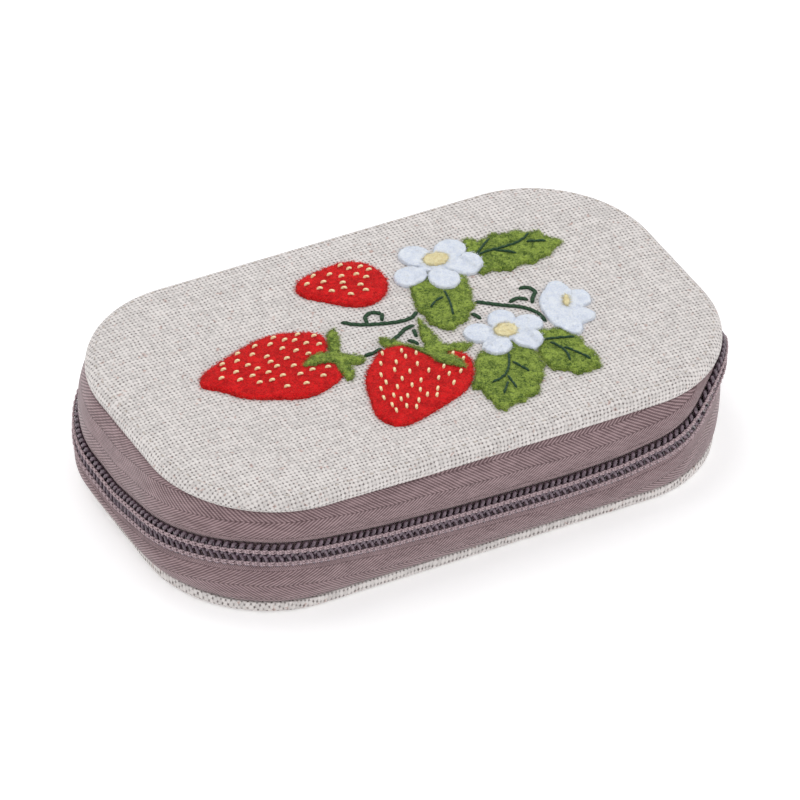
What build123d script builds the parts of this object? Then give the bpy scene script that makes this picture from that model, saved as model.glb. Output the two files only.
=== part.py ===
from build123d import *

import os
from math import atan2, degrees

# A zip-around sewing case, closed and lying flat. Millimetres. The origin is the
# middle of the underside, +X runs along the length, -Y is the front of the zip,
# +Y is the spine that the lid folds about, and +Z is up.

# ---- Driving dimensions -------------------------------------------------------
LENGTH = 156.0
WIDTH = 91.0
CORNER = 32.0
ZIP_LINE = 17.0
RIM = 3.0
LID_TOP = 35.0

LINEN = 0.6
HEM = 5.4
BOARD = 1.8
TAPE = 0.4
LINING = 0.5
BASE_ROUNDING = 0.8
LID_ROUNDING = 2.0
WADDING_ROUNDING = 0.9
LINING_MARGIN = 1.0

# The zip: how far the bulging tape and the chain stand out from the panels' edge.
FLANGE_IN = -5.4
TAPE_ROOT = -0.6
TAPE_BULGE = 1.55
TAPE_BULGE_Z = 8.5
TAPE_TOP = 0.9
COIL_BACK = 0.4
COIL_FRONT = 2.5
COIL_HEIGHT = 2.7
COIL_GAP = 1.0
COIL_ROUNDING = 0.8
SPINE_TURN = 20.0

# The slider and its pull, on the straight right-hand end of the case.
SLIDER_Y = 6.5
SLIDER_LENGTH = 12.0
SLIDER_HEIGHT = 8.5
SLIDER_PLATE = 1.0
SLIDER_CLEARANCE = 0.3
SLIDER_TAPER = 1.2
SLIDER_ROUNDING = 1.6
STOP_LENGTH = 1.4
TAB_LENGTH = 24.0
TAB_WIDTH = 6.4
TAB_THICKNESS = 0.9

# Felt, thread and the fittings inside.
FELT = 0.9
SEED_LENGTH = 1.6
SEED_WIDTH = 0.75
SMALL_TIP = (-17.5, 27.0)
LEFT_TIP = (-80.0, 2.0)
FRONT_TIP = (-24.0, -50.0)
STITCH_PITCH = 2.2
STITCH_WIDTH = 0.9
STEM_GAP = 0.2
STEM_HEIGHT = 0.5
VEIN_GAP = 0.3
VEIN_WIDTH = 0.7
TOPSTITCH_IN = 2.3
TOPSTITCH_PITCH = 3.2
TOPSTITCH_WIDTH = 0.4
TOPSTITCH_HEIGHT = 0.2
LOOP_COUNT = 4
LOOP_PITCH = 12.5
LOOP_FIRST_X = 12.0
LOOP_SPAN = 10.0
LOOP_RISE = 6.0
ELASTIC_WIDTH = 10.0
ELASTIC = 0.8
ELASTIC_LEAD = 2.0
ELASTIC_TAIL = 1.0

# ---- Derived sizes ------------------------------------------------------------
FLANGE_TOP = RIM + TAPE
LINING_TOP = FLANGE_TOP + LINING
HEM_BOTTOM = RIM - LINEN
COIL_BOTTOM = ZIP_LINE - COIL_GAP / 2 - COIL_HEIGHT
COIL_TOP = ZIP_LINE - COIL_GAP / 2
MIRROR_Z = 2 * ZIP_LINE
CENTRE_X = LENGTH / 2 - CORNER
CENTRE_Y = WIDTH / 2 - CORNER
COIL_END_Y = SLIDER_Y + SLIDER_LENGTH / 2 + SLIDER_CLEARANCE
LAYER_1 = LID_TOP + FELT
LAYER_2 = LID_TOP + 2 * FELT

os.makedirs("parts", exist_ok=True)


# ---- Helpers ------------------------------------------------------------------
def save(builder, name):
    """Label one finished piece and write it to its own file."""
    builder.part.label = name
    export_step(builder.part, f"parts/{name}.step")


def layer(inset, bottom, top, mode=Mode.ADD):
    """A flat layer with the case's outline, set in from its edge."""
    with BuildSketch(Plane.XY.offset(bottom)) as outline:
        RectangleRounded(LENGTH - 2 * inset, WIDTH - 2 * inset, CORNER - inset)
    extrude(outline.sketch, amount=top - bottom, mode=mode)


def lid_twin(base_piece, name):
    """The lid's copy of a base piece, mirrored about the zip line."""
    with BuildPart() as twin:
        add(base_piece.part.mirror(Plane.XY.offset(ZIP_LINE)))
    save(twin, name)
    return twin


def side_run(start_y):
    """The outline from the right-hand end, round the front, to the back left corner."""
    Line((LENGTH / 2, start_y), (LENGTH / 2, -CENTRE_Y))
    CenterArc((CENTRE_X, -CENTRE_Y), CORNER, 0, -90)
    Line((CENTRE_X, -WIDTH / 2), (-CENTRE_X, -WIDTH / 2))
    CenterArc((-CENTRE_X, -CENTRE_Y), CORNER, 270, -90)
    Line((-LENGTH / 2, -CENTRE_Y), (-LENGTH / 2, CENTRE_Y))
    CenterArc((-CENTRE_X, CENTRE_Y), CORNER, 180, SPINE_TURN - 90)


def back_run():
    """The outline across the back, from corner to corner, where the spine is."""
    CenterArc((-CENTRE_X, CENTRE_Y), CORNER, 90 + SPINE_TURN, -SPINE_TURN)
    Line((-CENTRE_X, WIDTH / 2), (CENTRE_X, WIDTH / 2))
    CenterArc((CENTRE_X, CENTRE_Y), CORNER, 90, -SPINE_TURN)


def section_plane(route):
    """A plane across the start of a route: its X points out of the case, its Y up."""
    heading = route.line % 0
    return Plane(origin=route.line @ 0, x_dir=heading.cross(Vector(0, 0, -1)), z_dir=heading)


def stitches(places, length, width, bottom, height):
    """Separate stitches, each a small slot lying along its own direction."""
    with BuildSketch(Plane.XY.offset(bottom)) as outlines:
        with Locations(*[Location((x, y, 0), (0, 0, angle)) for x, y, angle in places]):
            SlotOverall(length, width)
    extrude(outlines.sketch, amount=height)


def row(points):
    """Places for a row of stitches, end to end along a curve through the points."""
    with BuildLine(mode=Mode.PRIVATE) as curve:
        Spline(*points)
    thread = curve.edge()
    count = max(1, round(thread.length / STITCH_PITCH))
    places = []
    for index in range(count):
        middle = (index + 0.5) / count
        at = thread @ middle
        heading = thread % middle
        places.append((at.X, at.Y, degrees(atan2(heading.Y, heading.X))))
    return places


def seeds(positions, tip):
    """Places for a strawberry's seeds, each one pointing towards its tip."""
    return [(x, y, degrees(atan2(tip[1] - y, tip[0] - x))) for x, y in positions]


def smooth_patch(points, bottom, top):
    """A felt patch with a smooth outline through the points."""
    with BuildSketch(Plane.XY.offset(bottom)) as patch:
        with BuildLine():
            Spline(*points, periodic=True)
        make_face()
    extrude(patch.sketch, amount=top - bottom)


def cut_patch(points, bottom, top):
    """A felt patch with the snipped, pointed outline of a leaf."""
    with BuildSketch(Plane.XY.offset(bottom)) as patch:
        with BuildLine():
            Polyline(*points, close=True)
        make_face()
    extrude(patch.sketch, amount=top - bottom)


def flower(centre, petals, petal_length, petal_width):
    """A flat five-petalled flower cut from one piece of felt."""
    with BuildSketch(Plane.XY.offset(LAYER_1)) as blossom:
        with Locations(centre):
            Circle(petal_length)
        for x, y in petals:
            angle = degrees(atan2(y - centre[1], x - centre[0]))
            with Locations(Location((x, y, 0), (0, 0, angle))):
                Ellipse(petal_length, petal_width)
    extrude(blossom.sketch, amount=FELT)


def flower_eye(centre, length, width, angle):
    """The yellow felt middle of a flower, stitched on top of it."""
    with BuildSketch(Plane.XY.offset(LAYER_2)) as eye:
        with Locations(Location((centre[0], centre[1], 0), (0, 0, angle))):
            Ellipse(length / 2, width / 2)
    extrude(eye.sketch, amount=FELT / 2)


# ---- Base panel ---------------------------------------------------------------
with BuildPart() as base_board:
    layer(LINEN, LINEN, HEM_BOTTOM)
save(base_board, "base_board")

with BuildPart() as base_cover:
    layer(0, 0, RIM)
    fillet(base_cover.faces().sort_by(Axis.Z)[0].edges(), radius=BASE_ROUNDING)
    layer(LINEN, LINEN, HEM_BOTTOM, mode=Mode.SUBTRACT)
    layer(HEM + LINEN, HEM_BOTTOM, RIM, mode=Mode.SUBTRACT)
save(base_cover, "base_cover")

with BuildPart() as base_padding:
    layer(HEM + LINEN, HEM_BOTTOM, FLANGE_TOP)
save(base_padding, "base_padding")

with BuildPart() as base_lining:
    layer(LINING_MARGIN - TAPE_ROOT, FLANGE_TOP, LINING_TOP)
save(base_lining, "base_lining")

# ---- Lid panel: the base's layers mirrored, under a wadded linen cover ----------
LID_RIM = MIRROR_Z - RIM
LID_BOARD_BOTTOM = MIRROR_Z - HEM_BOTTOM

lid_twin(base_board, "lid_board")
lid_twin(base_padding, "lid_padding")
lid_twin(base_lining, "lid_lining")

with BuildPart() as lid_wadding:
    layer(LINEN, LID_BOARD_BOTTOM + BOARD, LID_TOP - LINEN)
    fillet(lid_wadding.faces().sort_by(Axis.Z)[-1].edges(), radius=WADDING_ROUNDING)
save(lid_wadding, "lid_wadding")

with BuildPart() as lid_cover:
    layer(0, LID_RIM, LID_TOP)
    fillet(lid_cover.faces().sort_by(Axis.Z)[-1].edges(), radius=LID_ROUNDING)
    layer(LINEN, LID_BOARD_BOTTOM, LID_BOARD_BOTTOM + BOARD, mode=Mode.SUBTRACT)
    layer(HEM + LINEN, LID_RIM, LID_BOARD_BOTTOM, mode=Mode.SUBTRACT)
    add(lid_wadding.part, mode=Mode.SUBTRACT)
save(lid_cover, "lid_cover")

# ---- Zip: tapes that bulge out between the panels, and their coils ---------------
with BuildPart() as lower_zip_tape:
    with BuildLine() as tape_route:
        CenterArc((CENTRE_X, CENTRE_Y), CORNER, 90 - SPINE_TURN, SPINE_TURN - 90)
        side_run(CENTRE_Y)
    with BuildSketch(section_plane(tape_route)):
        with BuildLine():
            Line((FLANGE_IN, RIM), (TAPE_ROOT, RIM))
            ThreePointArc((TAPE_ROOT, RIM), (TAPE_BULGE, TAPE_BULGE_Z), (TAPE_TOP, COIL_BOTTOM))
            Polyline(
                (TAPE_TOP, COIL_BOTTOM),
                (COIL_BACK, COIL_BOTTOM + TAPE),
                (COIL_BACK, COIL_TOP),
                (COIL_BACK - TAPE, COIL_TOP),
                (COIL_BACK - TAPE, COIL_BOTTOM + TAPE),
                (TAPE_TOP - TAPE, COIL_BOTTOM),
            )
            ThreePointArc(
                (TAPE_TOP - TAPE, COIL_BOTTOM),
                (TAPE_BULGE - TAPE, TAPE_BULGE_Z),
                (TAPE_ROOT - TAPE, FLANGE_TOP),
            )
            Polyline((TAPE_ROOT - TAPE, FLANGE_TOP), (FLANGE_IN, FLANGE_TOP), (FLANGE_IN, RIM))
        make_face()
    sweep(path=tape_route.wire())
save(lower_zip_tape, "lower_zip_tape")
lid_twin(lower_zip_tape, "upper_zip_tape")

with BuildPart() as lower_zip_coil:
    with BuildLine() as coil_route:
        side_run(COIL_END_Y)
    with BuildSketch(section_plane(coil_route)):
        with Locations(((COIL_BACK + COIL_FRONT) / 2, (COIL_BOTTOM + COIL_TOP) / 2)):
            RectangleRounded(COIL_FRONT - COIL_BACK, COIL_HEIGHT, COIL_ROUNDING)
    sweep(path=coil_route.wire())
save(lower_zip_coil, "lower_zip_coil")
lid_twin(lower_zip_coil, "upper_zip_coil")

with BuildPart() as lower_top_stop:
    with BuildSketch(Plane.XY.offset(COIL_BOTTOM + TAPE)):
        with Locations((LENGTH / 2 + COIL_BACK, COIL_END_Y)):
            Rectangle(COIL_FRONT - COIL_BACK, STOP_LENGTH, align=(Align.MIN, Align.MIN))
    extrude(amount=COIL_HEIGHT - TAPE)
save(lower_top_stop, "lower_top_stop")
lid_twin(lower_top_stop, "upper_top_stop")

# ---- Spine: the linen strip that the lid folds about, in two halves ---------------
SPINE_IN = -0.4
SPINE_OUT = 0.8
FOLD_GAP = 0.3

with BuildPart() as hinge_panel_lower:
    with BuildLine() as spine_route:
        back_run()
    with BuildSketch(section_plane(spine_route)):
        with BuildLine():
            Polyline(
                (FLANGE_IN, RIM),
                (SPINE_OUT, RIM),
                (SPINE_OUT, ZIP_LINE - FOLD_GAP / 2),
                (SPINE_IN, ZIP_LINE - FOLD_GAP / 2),
                (SPINE_IN, FLANGE_TOP),
                (FLANGE_IN, FLANGE_TOP),
                close=True,
            )
        make_face()
    sweep(path=spine_route.wire())
save(hinge_panel_lower, "hinge_panel_lower")
lid_twin(hinge_panel_lower, "hinge_panel_upper")

# ---- Slider: two plates joined by a post between the coils, with a bridge ---------
OUTER_PLATE = COIL_FRONT + SLIDER_CLEARANCE
INNER_PLATE = COIL_BACK - TAPE - SLIDER_CLEARANCE - SLIDER_PLATE
BRIDGE_FOOT = OUTER_PLATE + SLIDER_PLATE
SLIDER_AXIS = Plane(origin=(LENGTH / 2, SLIDER_Y, ZIP_LINE), x_dir=(0, 1, 0), z_dir=(1, 0, 0))
BRIDGE_WIDTH = 2.0
BRIDGE_OUT = 2.2
BRIDGE_SPAN = 3.5
BRIDGE_THICKNESS = 1.0
BRIDGE_SLOPE = 1.6
BRIDGE_LEG = 1.2
BRIDGE_HAUNCH = 2.1
POST_HEIGHT = 0.5
POST_LENGTH = 3.0
POST_BACK = 2.5

with BuildPart() as slider_body:
    for plate in (INNER_PLATE, OUTER_PLATE):
        with BuildSketch(SLIDER_AXIS.offset(plate)) as outline:
            with BuildLine():
                Polyline(
                    (-SLIDER_LENGTH / 2, -SLIDER_HEIGHT / 2 + SLIDER_TAPER),
                    (SLIDER_LENGTH / 2, -SLIDER_HEIGHT / 2),
                    (SLIDER_LENGTH / 2, SLIDER_HEIGHT / 2),
                    (-SLIDER_LENGTH / 2, SLIDER_HEIGHT / 2 - SLIDER_TAPER),
                    close=True,
                )
            make_face()
            fillet(outline.vertices(), radius=SLIDER_ROUNDING)
        extrude(amount=SLIDER_PLATE)
    with BuildSketch(SLIDER_AXIS.offset(INNER_PLATE + SLIDER_PLATE)):
        with Locations((SLIDER_LENGTH / 2 - POST_BACK, 0)):
            SlotOverall(POST_LENGTH, POST_HEIGHT)
    extrude(amount=OUTER_PLATE - INNER_PLATE - SLIDER_PLATE)
    bridge_foot = (LENGTH / 2 + BRIDGE_FOOT, SLIDER_Y, ZIP_LINE - BRIDGE_WIDTH / 2)
    with BuildSketch(Plane(origin=bridge_foot)):
        with BuildLine():
            Polyline(
                (0, -BRIDGE_SPAN),
                (BRIDGE_OUT, BRIDGE_SLOPE - BRIDGE_SPAN),
                (BRIDGE_OUT, BRIDGE_SPAN - BRIDGE_SLOPE),
                (0, BRIDGE_SPAN),
                (0, BRIDGE_SPAN - BRIDGE_LEG),
                (BRIDGE_OUT - BRIDGE_THICKNESS, BRIDGE_SPAN - BRIDGE_HAUNCH),
                (BRIDGE_OUT - BRIDGE_THICKNESS, BRIDGE_HAUNCH - BRIDGE_SPAN),
                (0, BRIDGE_LEG - BRIDGE_SPAN),
                close=True,
            )
        make_face()
    extrude(amount=BRIDGE_WIDTH)
save(slider_body, "slider_body")

# ---- Pull tab: a flat bar whose pin passes under the slider's bridge ---------------
PIN_OUT = BRIDGE_FOOT + (BRIDGE_OUT - BRIDGE_THICKNESS) / 2
EYE_LENGTH = 6.0
EYE_WIDTH = 3.0
PIN_RADIUS = 0.4
EYE_BACK = 1.0
PIN_SEAT = 0.5

with BuildPart() as pull_tab:
    with BuildSketch(SLIDER_AXIS.offset(PIN_OUT - TAB_THICKNESS / 2)):
        with Locations((-PIN_RADIUS, 0)):
            SlotOverall(TAB_LENGTH, TAB_WIDTH, align=(Align.MIN, Align.CENTER))
        with Locations((-EYE_BACK, 0)):
            Rectangle(EYE_LENGTH, EYE_WIDTH, align=(Align.MIN, Align.CENTER), mode=Mode.SUBTRACT)
    extrude(amount=TAB_THICKNESS)
    with BuildSketch(Plane.XY.offset(ZIP_LINE - EYE_WIDTH / 2 - PIN_SEAT)):
        with Locations((LENGTH / 2 + PIN_OUT, SLIDER_Y)):
            Circle(PIN_RADIUS)
    extrude(amount=EYE_WIDTH + 2 * PIN_SEAT)
save(pull_tab, "pull_tab")

# ---- Felt applique on the lid: strawberries, leaves, calyxes and flowers -----------
with BuildPart() as small_strawberry:
    smooth_patch(
        (
            (-16.0, 27.5), (-14.0, 30.2), (-8.6, 31.7), (0.0, 32.3), (4.0, 30.4), (6.6, 24.5),
            (4.5, 18.0), (-1.5, 14.6), (-6.5, 15.8), (-11.3, 20.0), (-15.6, 24.4),
        ),
        LID_TOP,
        LAYER_1,
    )
save(small_strawberry, "small_strawberry")

with BuildPart() as left_strawberry:
    smooth_patch(
        (
            (-55.2, 4.2), (-53.6, 6.5), (-46.0, 10.0), (-37.0, 13.0), (-31.5, 13.9), (-23.0, 11.8),
            (-19.4, 9.0), (-20.6, 3.5), (-23.2, -0.6), (-22.0, -3.2), (-22.0, -7.4), (-25.0, -9.5),
            (-35.0, -11.2), (-41.0, -8.7), (-49.0, -3.7), (-52.2, 0.2),
        ),
        LID_TOP,
        LAYER_1,
    )
save(left_strawberry, "left_strawberry")

with BuildPart() as front_strawberry:
    smooth_patch(
        (
            (-5.9, -3.0), (-1.4, -5.6), (1.2, -10.2), (4.2, -12.6), (6.4, -10.8), (9.2, -13.2),
            (8.6, -18.2), (4.0, -24.6), (-5.0, -28.4), (-14.0, -30.9), (-19.0, -30.8),
            (-21.9, -26.5), (-20.5, -19.0), (-17.3, -10.9), (-12.3, -5.7),
        ),
        LID_TOP,
        LAYER_1,
    )
save(front_strawberry, "front_strawberry")

with BuildPart() as left_calyx:
    cut_patch(
        (
            (-22.0, 1.6), (-20.4, 2.0), (-19.4, 4.6), (-17.8, 8.4), (-14.9, 9.8), (-15.6, 6.6),
            (-17.2, 3.0), (-18.8, 0.3), (-16.8, -0.9), (-14.6, -2.2), (-13.9, -4.4), (-15.6, -5.4),
            (-18.4, -4.4), (-18.7, -7.4), (-20.6, -9.9), (-21.8, -9.6), (-22.0, -6.0),
            (-21.4, -2.6), (-23.0, -2.2), (-27.0, -2.4), (-29.9, -1.6), (-26.2, 0.7),
        ),
        LAYER_1,
        LAYER_2,
    )
save(left_calyx, "left_calyx")

with BuildPart() as front_calyx:
    cut_patch(
        (
            (1.4, -6.8), (2.3, -5.0), (3.0, -2.0), (4.6, 1.6), (5.9, 4.6), (6.1, 1.0), (6.3, -5.2),
            (6.2, -7.4), (10.4, -8.4), (13.2, -10.3), (11.6, -10.8), (9.6, -12.0), (6.4, -10.6),
            (4.9, -10.3), (5.6, -13.2), (6.5, -17.2), (6.1, -18.9), (3.4, -16.6), (1.2, -13.6),
            (0.8, -10.2), (-0.4, -8.2), (-3.4, -3.4), (-6.9, -2.6), (-7.5, -0.6), (-6.4, 1.7),
            (-5.0, 0.6), (-2.6, -2.8),
        ),
        LAYER_1,
        LAYER_2,
    )
save(front_calyx, "front_calyx")

with BuildPart() as leaf_upper_right:
    cut_patch(
        (
            (27.0, 21.0), (30.6, 23.6), (31.2, 26.4), (32.0, 27.9), (33.6, 27.6), (34.6, 25.6),
            (37.6, 25.9), (39.8, 27.1), (41.2, 25.8), (46.2, 25.3), (47.2, 23.6), (50.9, 23.3),
            (51.0, 20.6), (52.8, 18.8), (54.2, 16.5), (50.9, 15.2), (48.4, 13.2), (45.6, 13.2),
            (43.6, 11.7), (40.0, 13.3), (36.8, 11.7), (34.0, 12.9), (32.0, 14.0), (29.2, 13.3),
        ),
        LID_TOP,
        LAYER_1,
    )
save(leaf_upper_right, "leaf_upper_right")

with BuildPart() as leaf_middle:
    cut_patch(
        (
            (10.0, 15.8), (8.8, 12.4), (7.2, 6.9), (8.1, 4.7), (7.4, 1.7), (9.3, -1.4),
            (11.4, -3.1), (13.8, -1.8), (16.7, -1.3), (18.4, 1.2), (21.2, 3.0), (21.6, 6.0),
            (23.4, 9.0), (23.7, 11.4), (25.0, 14.2), (19.0, 20.0),
        ),
        LID_TOP,
        LAYER_1,
    )
save(leaf_middle, "leaf_middle")

with BuildPart() as leaf_lower:
    cut_patch(
        (
            (18.0, -12.0), (12.4, -14.6), (9.6, -17.4), (8.2, -20.4), (6.8, -22.7), (4.4, -25.0),
            (4.3, -26.4), (6.3, -27.0), (5.5, -29.5), (6.2, -31.8), (5.9, -35.0), (7.3, -36.8),
            (9.2, -35.7), (11.4, -35.0), (13.2, -35.9), (14.6, -34.5), (17.7, -34.5),
            (19.1, -32.7), (20.0, -30.9), (22.3, -29.4), (23.2, -26.8), (24.9, -25.6),
            (25.4, -20.4), (24.4, -14.0),
        ),
        LID_TOP,
        LAYER_1,
    )
    add(front_strawberry.part, mode=Mode.SUBTRACT)
save(leaf_lower, "leaf_lower")

with BuildPart() as leaf_right:
    cut_patch(
        (
            (27.0, -11.0), (31.4, -12.9), (35.9, -14.5), (36.6, -17.6), (38.5, -19.5),
            (37.7, -22.3), (38.5, -25.0), (38.4, -27.8), (37.2, -31.8), (34.1, -32.0),
            (30.5, -32.0), (29.1, -29.5), (25.9, -27.7), (25.6, -24.6), (25.9, -20.4),
            (27.2, -18.4),
        ),
        LID_TOP,
        LAYER_1,
    )
    add(leaf_lower.part, mode=Mode.SUBTRACT)
save(leaf_right, "leaf_right")

UPPER_FLOWER = (20.8, 22.4)
LOWER_FLOWER = (22.7, -9.8)

with BuildPart() as upper_flower:
    flower(
        UPPER_FLOWER,
        ((17.6, 26.9), (26.6, 25.4), (27.2, 18.6), (19.2, 15.2), (12.4, 20.1)),
        4.5,
        4.0,
    )
save(upper_flower, "upper_flower")

with BuildPart() as lower_flower:
    flower(
        LOWER_FLOWER,
        ((24.3, -5.2), (29.2, -9.3), (25.9, -15.0), (17.7, -14.2), (16.6, -7.3)),
        4.0,
        3.7,
    )
save(lower_flower, "lower_flower")

with BuildPart() as side_flower:
    smooth_patch(
        (
            (43.8, 3.0), (45.7, 0.6), (46.1, -1.7), (48.6, -3.3), (49.0, -6.0), (47.5, -8.6),
            (45.2, -9.3), (46.5, -11.8), (45.4, -14.4), (41.6, -15.2), (40.6, -17.2), (38.4, -18.1),
            (36.5, -16.4), (34.9, -10.0), (35.5, -5.0), (37.3, -1.2), (40.7, 1.8),
        ),
        LAYER_1,
        LAYER_2,
    )
save(side_flower, "side_flower")

with BuildPart() as upper_flower_eye:
    flower_eye((21.2, 23.0), 6.6, 5.0, 0)
save(upper_flower_eye, "upper_flower_eye")

with BuildPart() as lower_flower_eye:
    flower_eye((22.7, -9.7), 6.0, 5.0, 0)
save(lower_flower_eye, "lower_flower_eye")

with BuildPart() as side_flower_eye:
    flower_eye((42.3, -5.8), 4.8, 1.6, 62)
save(side_flower_eye, "side_flower_eye")

# ---- Embroidery: seeds, leaf veins, stems and the stitching round the lid ----------
SMALL_SEEDS = (
    (-13.0, 27.5), (-10.0, 29.8), (-6.1, 28.5), (-9.0, 26.3), (-3.8, 26.5), (-1.8, 30.8),
    (-0.5, 28.6), (2.5, 28.2), (3.9, 26.3), (0.0, 25.7), (-11.0, 24.5), (-4.8, 24.0),
    (1.7, 23.7), (-8.8, 22.3), (-5.5, 22.0), (-1.1, 21.5), (-5.1, 19.2), (-0.9, 19.1),
)
LEFT_SEEDS = (
    (-30.8, 12.0), (-24.8, 10.6), (-36.6, 10.9), (-41.8, 10.1), (-32.9, 9.8), (-28.8, 9.9),
    (-47.2, 7.9), (-38.8, 8.0), (-26.7, 8.6), (-21.4, 8.4), (-43.4, 7.3), (-31.0, 7.0),
    (-24.7, 6.3), (-48.0, 5.8), (-36.0, 5.7), (-41.8, 4.7), (-28.4, 4.7), (-21.9, 4.8),
    (-50.0, 3.0), (-45.7, 3.5), (-36.2, 3.4), (-31.9, 3.0), (-40.3, 2.5), (-26.2, 2.4),
    (-35.6, 1.2), (-46.2, 0.5), (-42.7, 0.6), (-38.6, 0.0), (-31.8, -0.4), (-42.3, -2.4),
    (-39.2, -3.0), (-36.0, -2.6), (-31.9, -4.0), (-28.4, -3.7), (-24.3, -4.2), (-37.0, -6.7),
    (-32.2, -7.7), (-27.0, -6.8),
)
FRONT_SEEDS = (
    (-9.6, -5.0), (-4.9, -6.3), (-12.0, -8.6), (-5.2, -8.9), (-2.0, -8.5), (-8.4, -9.9),
    (-10.3, -12.5), (-4.0, -12.7), (-14.2, -12.7), (6.2, -12.4), (-7.2, -14.6), (-14.5, -15.8),
    (-10.3, -16.3), (-2.7, -16.1), (1.5, -16.2), (7.4, -15.5), (-16.8, -17.4), (-12.9, -18.6),
    (-6.4, -18.8), (-9.3, -19.5), (-2.0, -19.8), (1.2, -19.4), (4.3, -19.7), (-17.9, -20.8),
    (-15.3, -21.1), (-8.3, -21.9), (-12.3, -22.7), (0.5, -23.0), (-4.2, -23.3), (-14.4, -23.2),
    (-17.4, -24.1), (-7.6, -24.2), (-10.6, -25.3), (-5.5, -25.3), (-17.5, -26.4), (-14.4, -26.0),
    (-12.3, -27.2),
)
VEINS = (
    ((31.2, 20.0), (36.0, 20.3), (41.0, 20.1), (47.4, 22.4)),
    ((32.0, 20.9), (36.6, 24.2)),
    ((37.2, 19.4), (40.2, 17.2)),
    ((45.6, 19.6), (49.8, 18.0)),
    ((16.7, 10.6), (15.7, 6.0), (14.1, 1.7)),
    ((15.2, 8.6), (12.6, 7.8), (10.6, 6.4)),
    ((18.6, -18.4), (17.0, -21.4), (14.1, -24.9), (9.6, -26.5)),
    ((17.9, -21.6), (19.8, -26.4)),
    ((14.0, -26.0), (13.7, -30.9)),
    ((12.8, -28.2), (10.0, -31.3)),
    ((30.0, -17.2), (36.6, -19.3)),
    ((30.3, -19.0), (31.7, -22.6), (31.1, -26.8)),
    ((32.4, -22.0), (34.2, -25.0), (35.9, -28.6)),
)
STEMS = (
    ((-11.7, 11.3), (-8.0, 8.5), (-4.0, 6.9), (0.5, 5.6), (4.5, 5.6), (6.6, 7.0)),
    ((-6.0, 8.6), (-5.6, 10.6), (-3.6, 11.6), (-1.7, 10.2), (-2.6, 8.4)),
    ((-13.2, -2.8), (-11.0, -2.8), (-8.2, -2.0)),
    ((-4.0, -0.3), (-1.0, 1.1), (2.2, 3.2)),
    ((2.4, 3.6), (2.6, 1.0), (2.0, -1.2)),
    ((-1.0, -2.2), (0.2, -3.0), (0.6, -4.6)),
    ((22.4, 4.2), (24.8, 2.3), (28.0, -0.1), (31.2, -2.3), (33.2, -4.8), (33.9, -9.6)),
    ((35.2, 4.2), (37.0, 3.6), (37.5, 1.8), (36.5, 0.4), (35.2, -1.6)),
    ((30.2, 0.6), (32.4, 1.0), (34.0, -0.2)),
    ((19.2, 0.2), (19.8, -1.4)),
    ((-17.8, -3.1), (-16.6, -3.3)),
)


def stitch_node(name, places, bottom, length, width, height=0.3):
    """One node of separate stitches."""
    with BuildPart() as threads:
        stitches(places, length, width, bottom, height)
    save(threads, name)


for seed_name, positions, tip in (
    ("small_strawberry_seeds", SMALL_SEEDS, SMALL_TIP),
    ("left_strawberry_seeds", LEFT_SEEDS, LEFT_TIP),
    ("front_strawberry_seeds", FRONT_SEEDS, FRONT_TIP),
):
    stitch_node(seed_name, seeds(positions, tip), LAYER_1, SEED_LENGTH, SEED_WIDTH)

vein_places = [place for vein in VEINS for place in row(vein)]
stitch_node("leaf_veins", vein_places, LAYER_1, STITCH_PITCH - VEIN_GAP, VEIN_WIDTH)

stem_places = [place for stem in STEMS for place in row(stem)]
stitch_node("stem_stitches", stem_places, LID_TOP, STITCH_PITCH - STEM_GAP, STITCH_WIDTH, STEM_HEIGHT)

with BuildSketch(mode=Mode.PRIVATE) as topstitch_outline:
    RectangleRounded(LENGTH - 2 * TOPSTITCH_IN, WIDTH - 2 * TOPSTITCH_IN, CORNER - TOPSTITCH_IN)
topstitch_route = topstitch_outline.face().outer_wire()
topstitch_count = round(topstitch_route.length / TOPSTITCH_PITCH)
topstitch_places = []
for index in range(topstitch_count):
    at = topstitch_route @ (index / topstitch_count)
    heading = topstitch_route % (index / topstitch_count)
    topstitch_places.append((at.X, at.Y, degrees(atan2(heading.Y, heading.X))))
stitch_node(
    "lid_topstitch",
    topstitch_places,
    LID_TOP,
    TOPSTITCH_PITCH / 2,
    TOPSTITCH_WIDTH,
    TOPSTITCH_HEIGHT,
)

# ---- Inside: a felt needle page and elastic loops in the base, a pocket in the lid --
PAGE_LENGTH = 46.0
PAGE_WIDTH = 58.0
PAGE_X = -36.0
PAGE_THICKNESS = 1.5
PAGE_CORNER = 4.0
POCKET_INSET = 4.0
POCKET_EDGE_Y = 2.0
BINDING = 6.0

with BuildPart() as needle_page:
    with BuildSketch(Plane.XY.offset(LINING_TOP)):
        with Locations((PAGE_X, 0)):
            RectangleRounded(PAGE_LENGTH, PAGE_WIDTH, PAGE_CORNER)
    extrude(amount=PAGE_THICKNESS)
save(needle_page, "needle_page")

with BuildPart() as elastic_loops:
    with BuildSketch(Plane.XZ):
        with BuildLine():
            low = LINING_TOP + ELASTIC / 2
            high = low + LOOP_RISE
            corners = [(LOOP_FIRST_X - LOOP_PITCH + LOOP_SPAN - ELASTIC_LEAD, low)]
            for index in range(LOOP_COUNT):
                left = LOOP_FIRST_X + index * LOOP_PITCH
                corners += [(left, low), (left, high), (left + LOOP_SPAN, high), (left + LOOP_SPAN, low)]
            corners.append((LOOP_FIRST_X + LOOP_COUNT * LOOP_PITCH + ELASTIC_TAIL, low))
            Polyline(*corners)
        trace(line_width=ELASTIC)
    extrude(amount=ELASTIC_WIDTH / 2, both=True)
save(elastic_loops, "elastic_loops")

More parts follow.
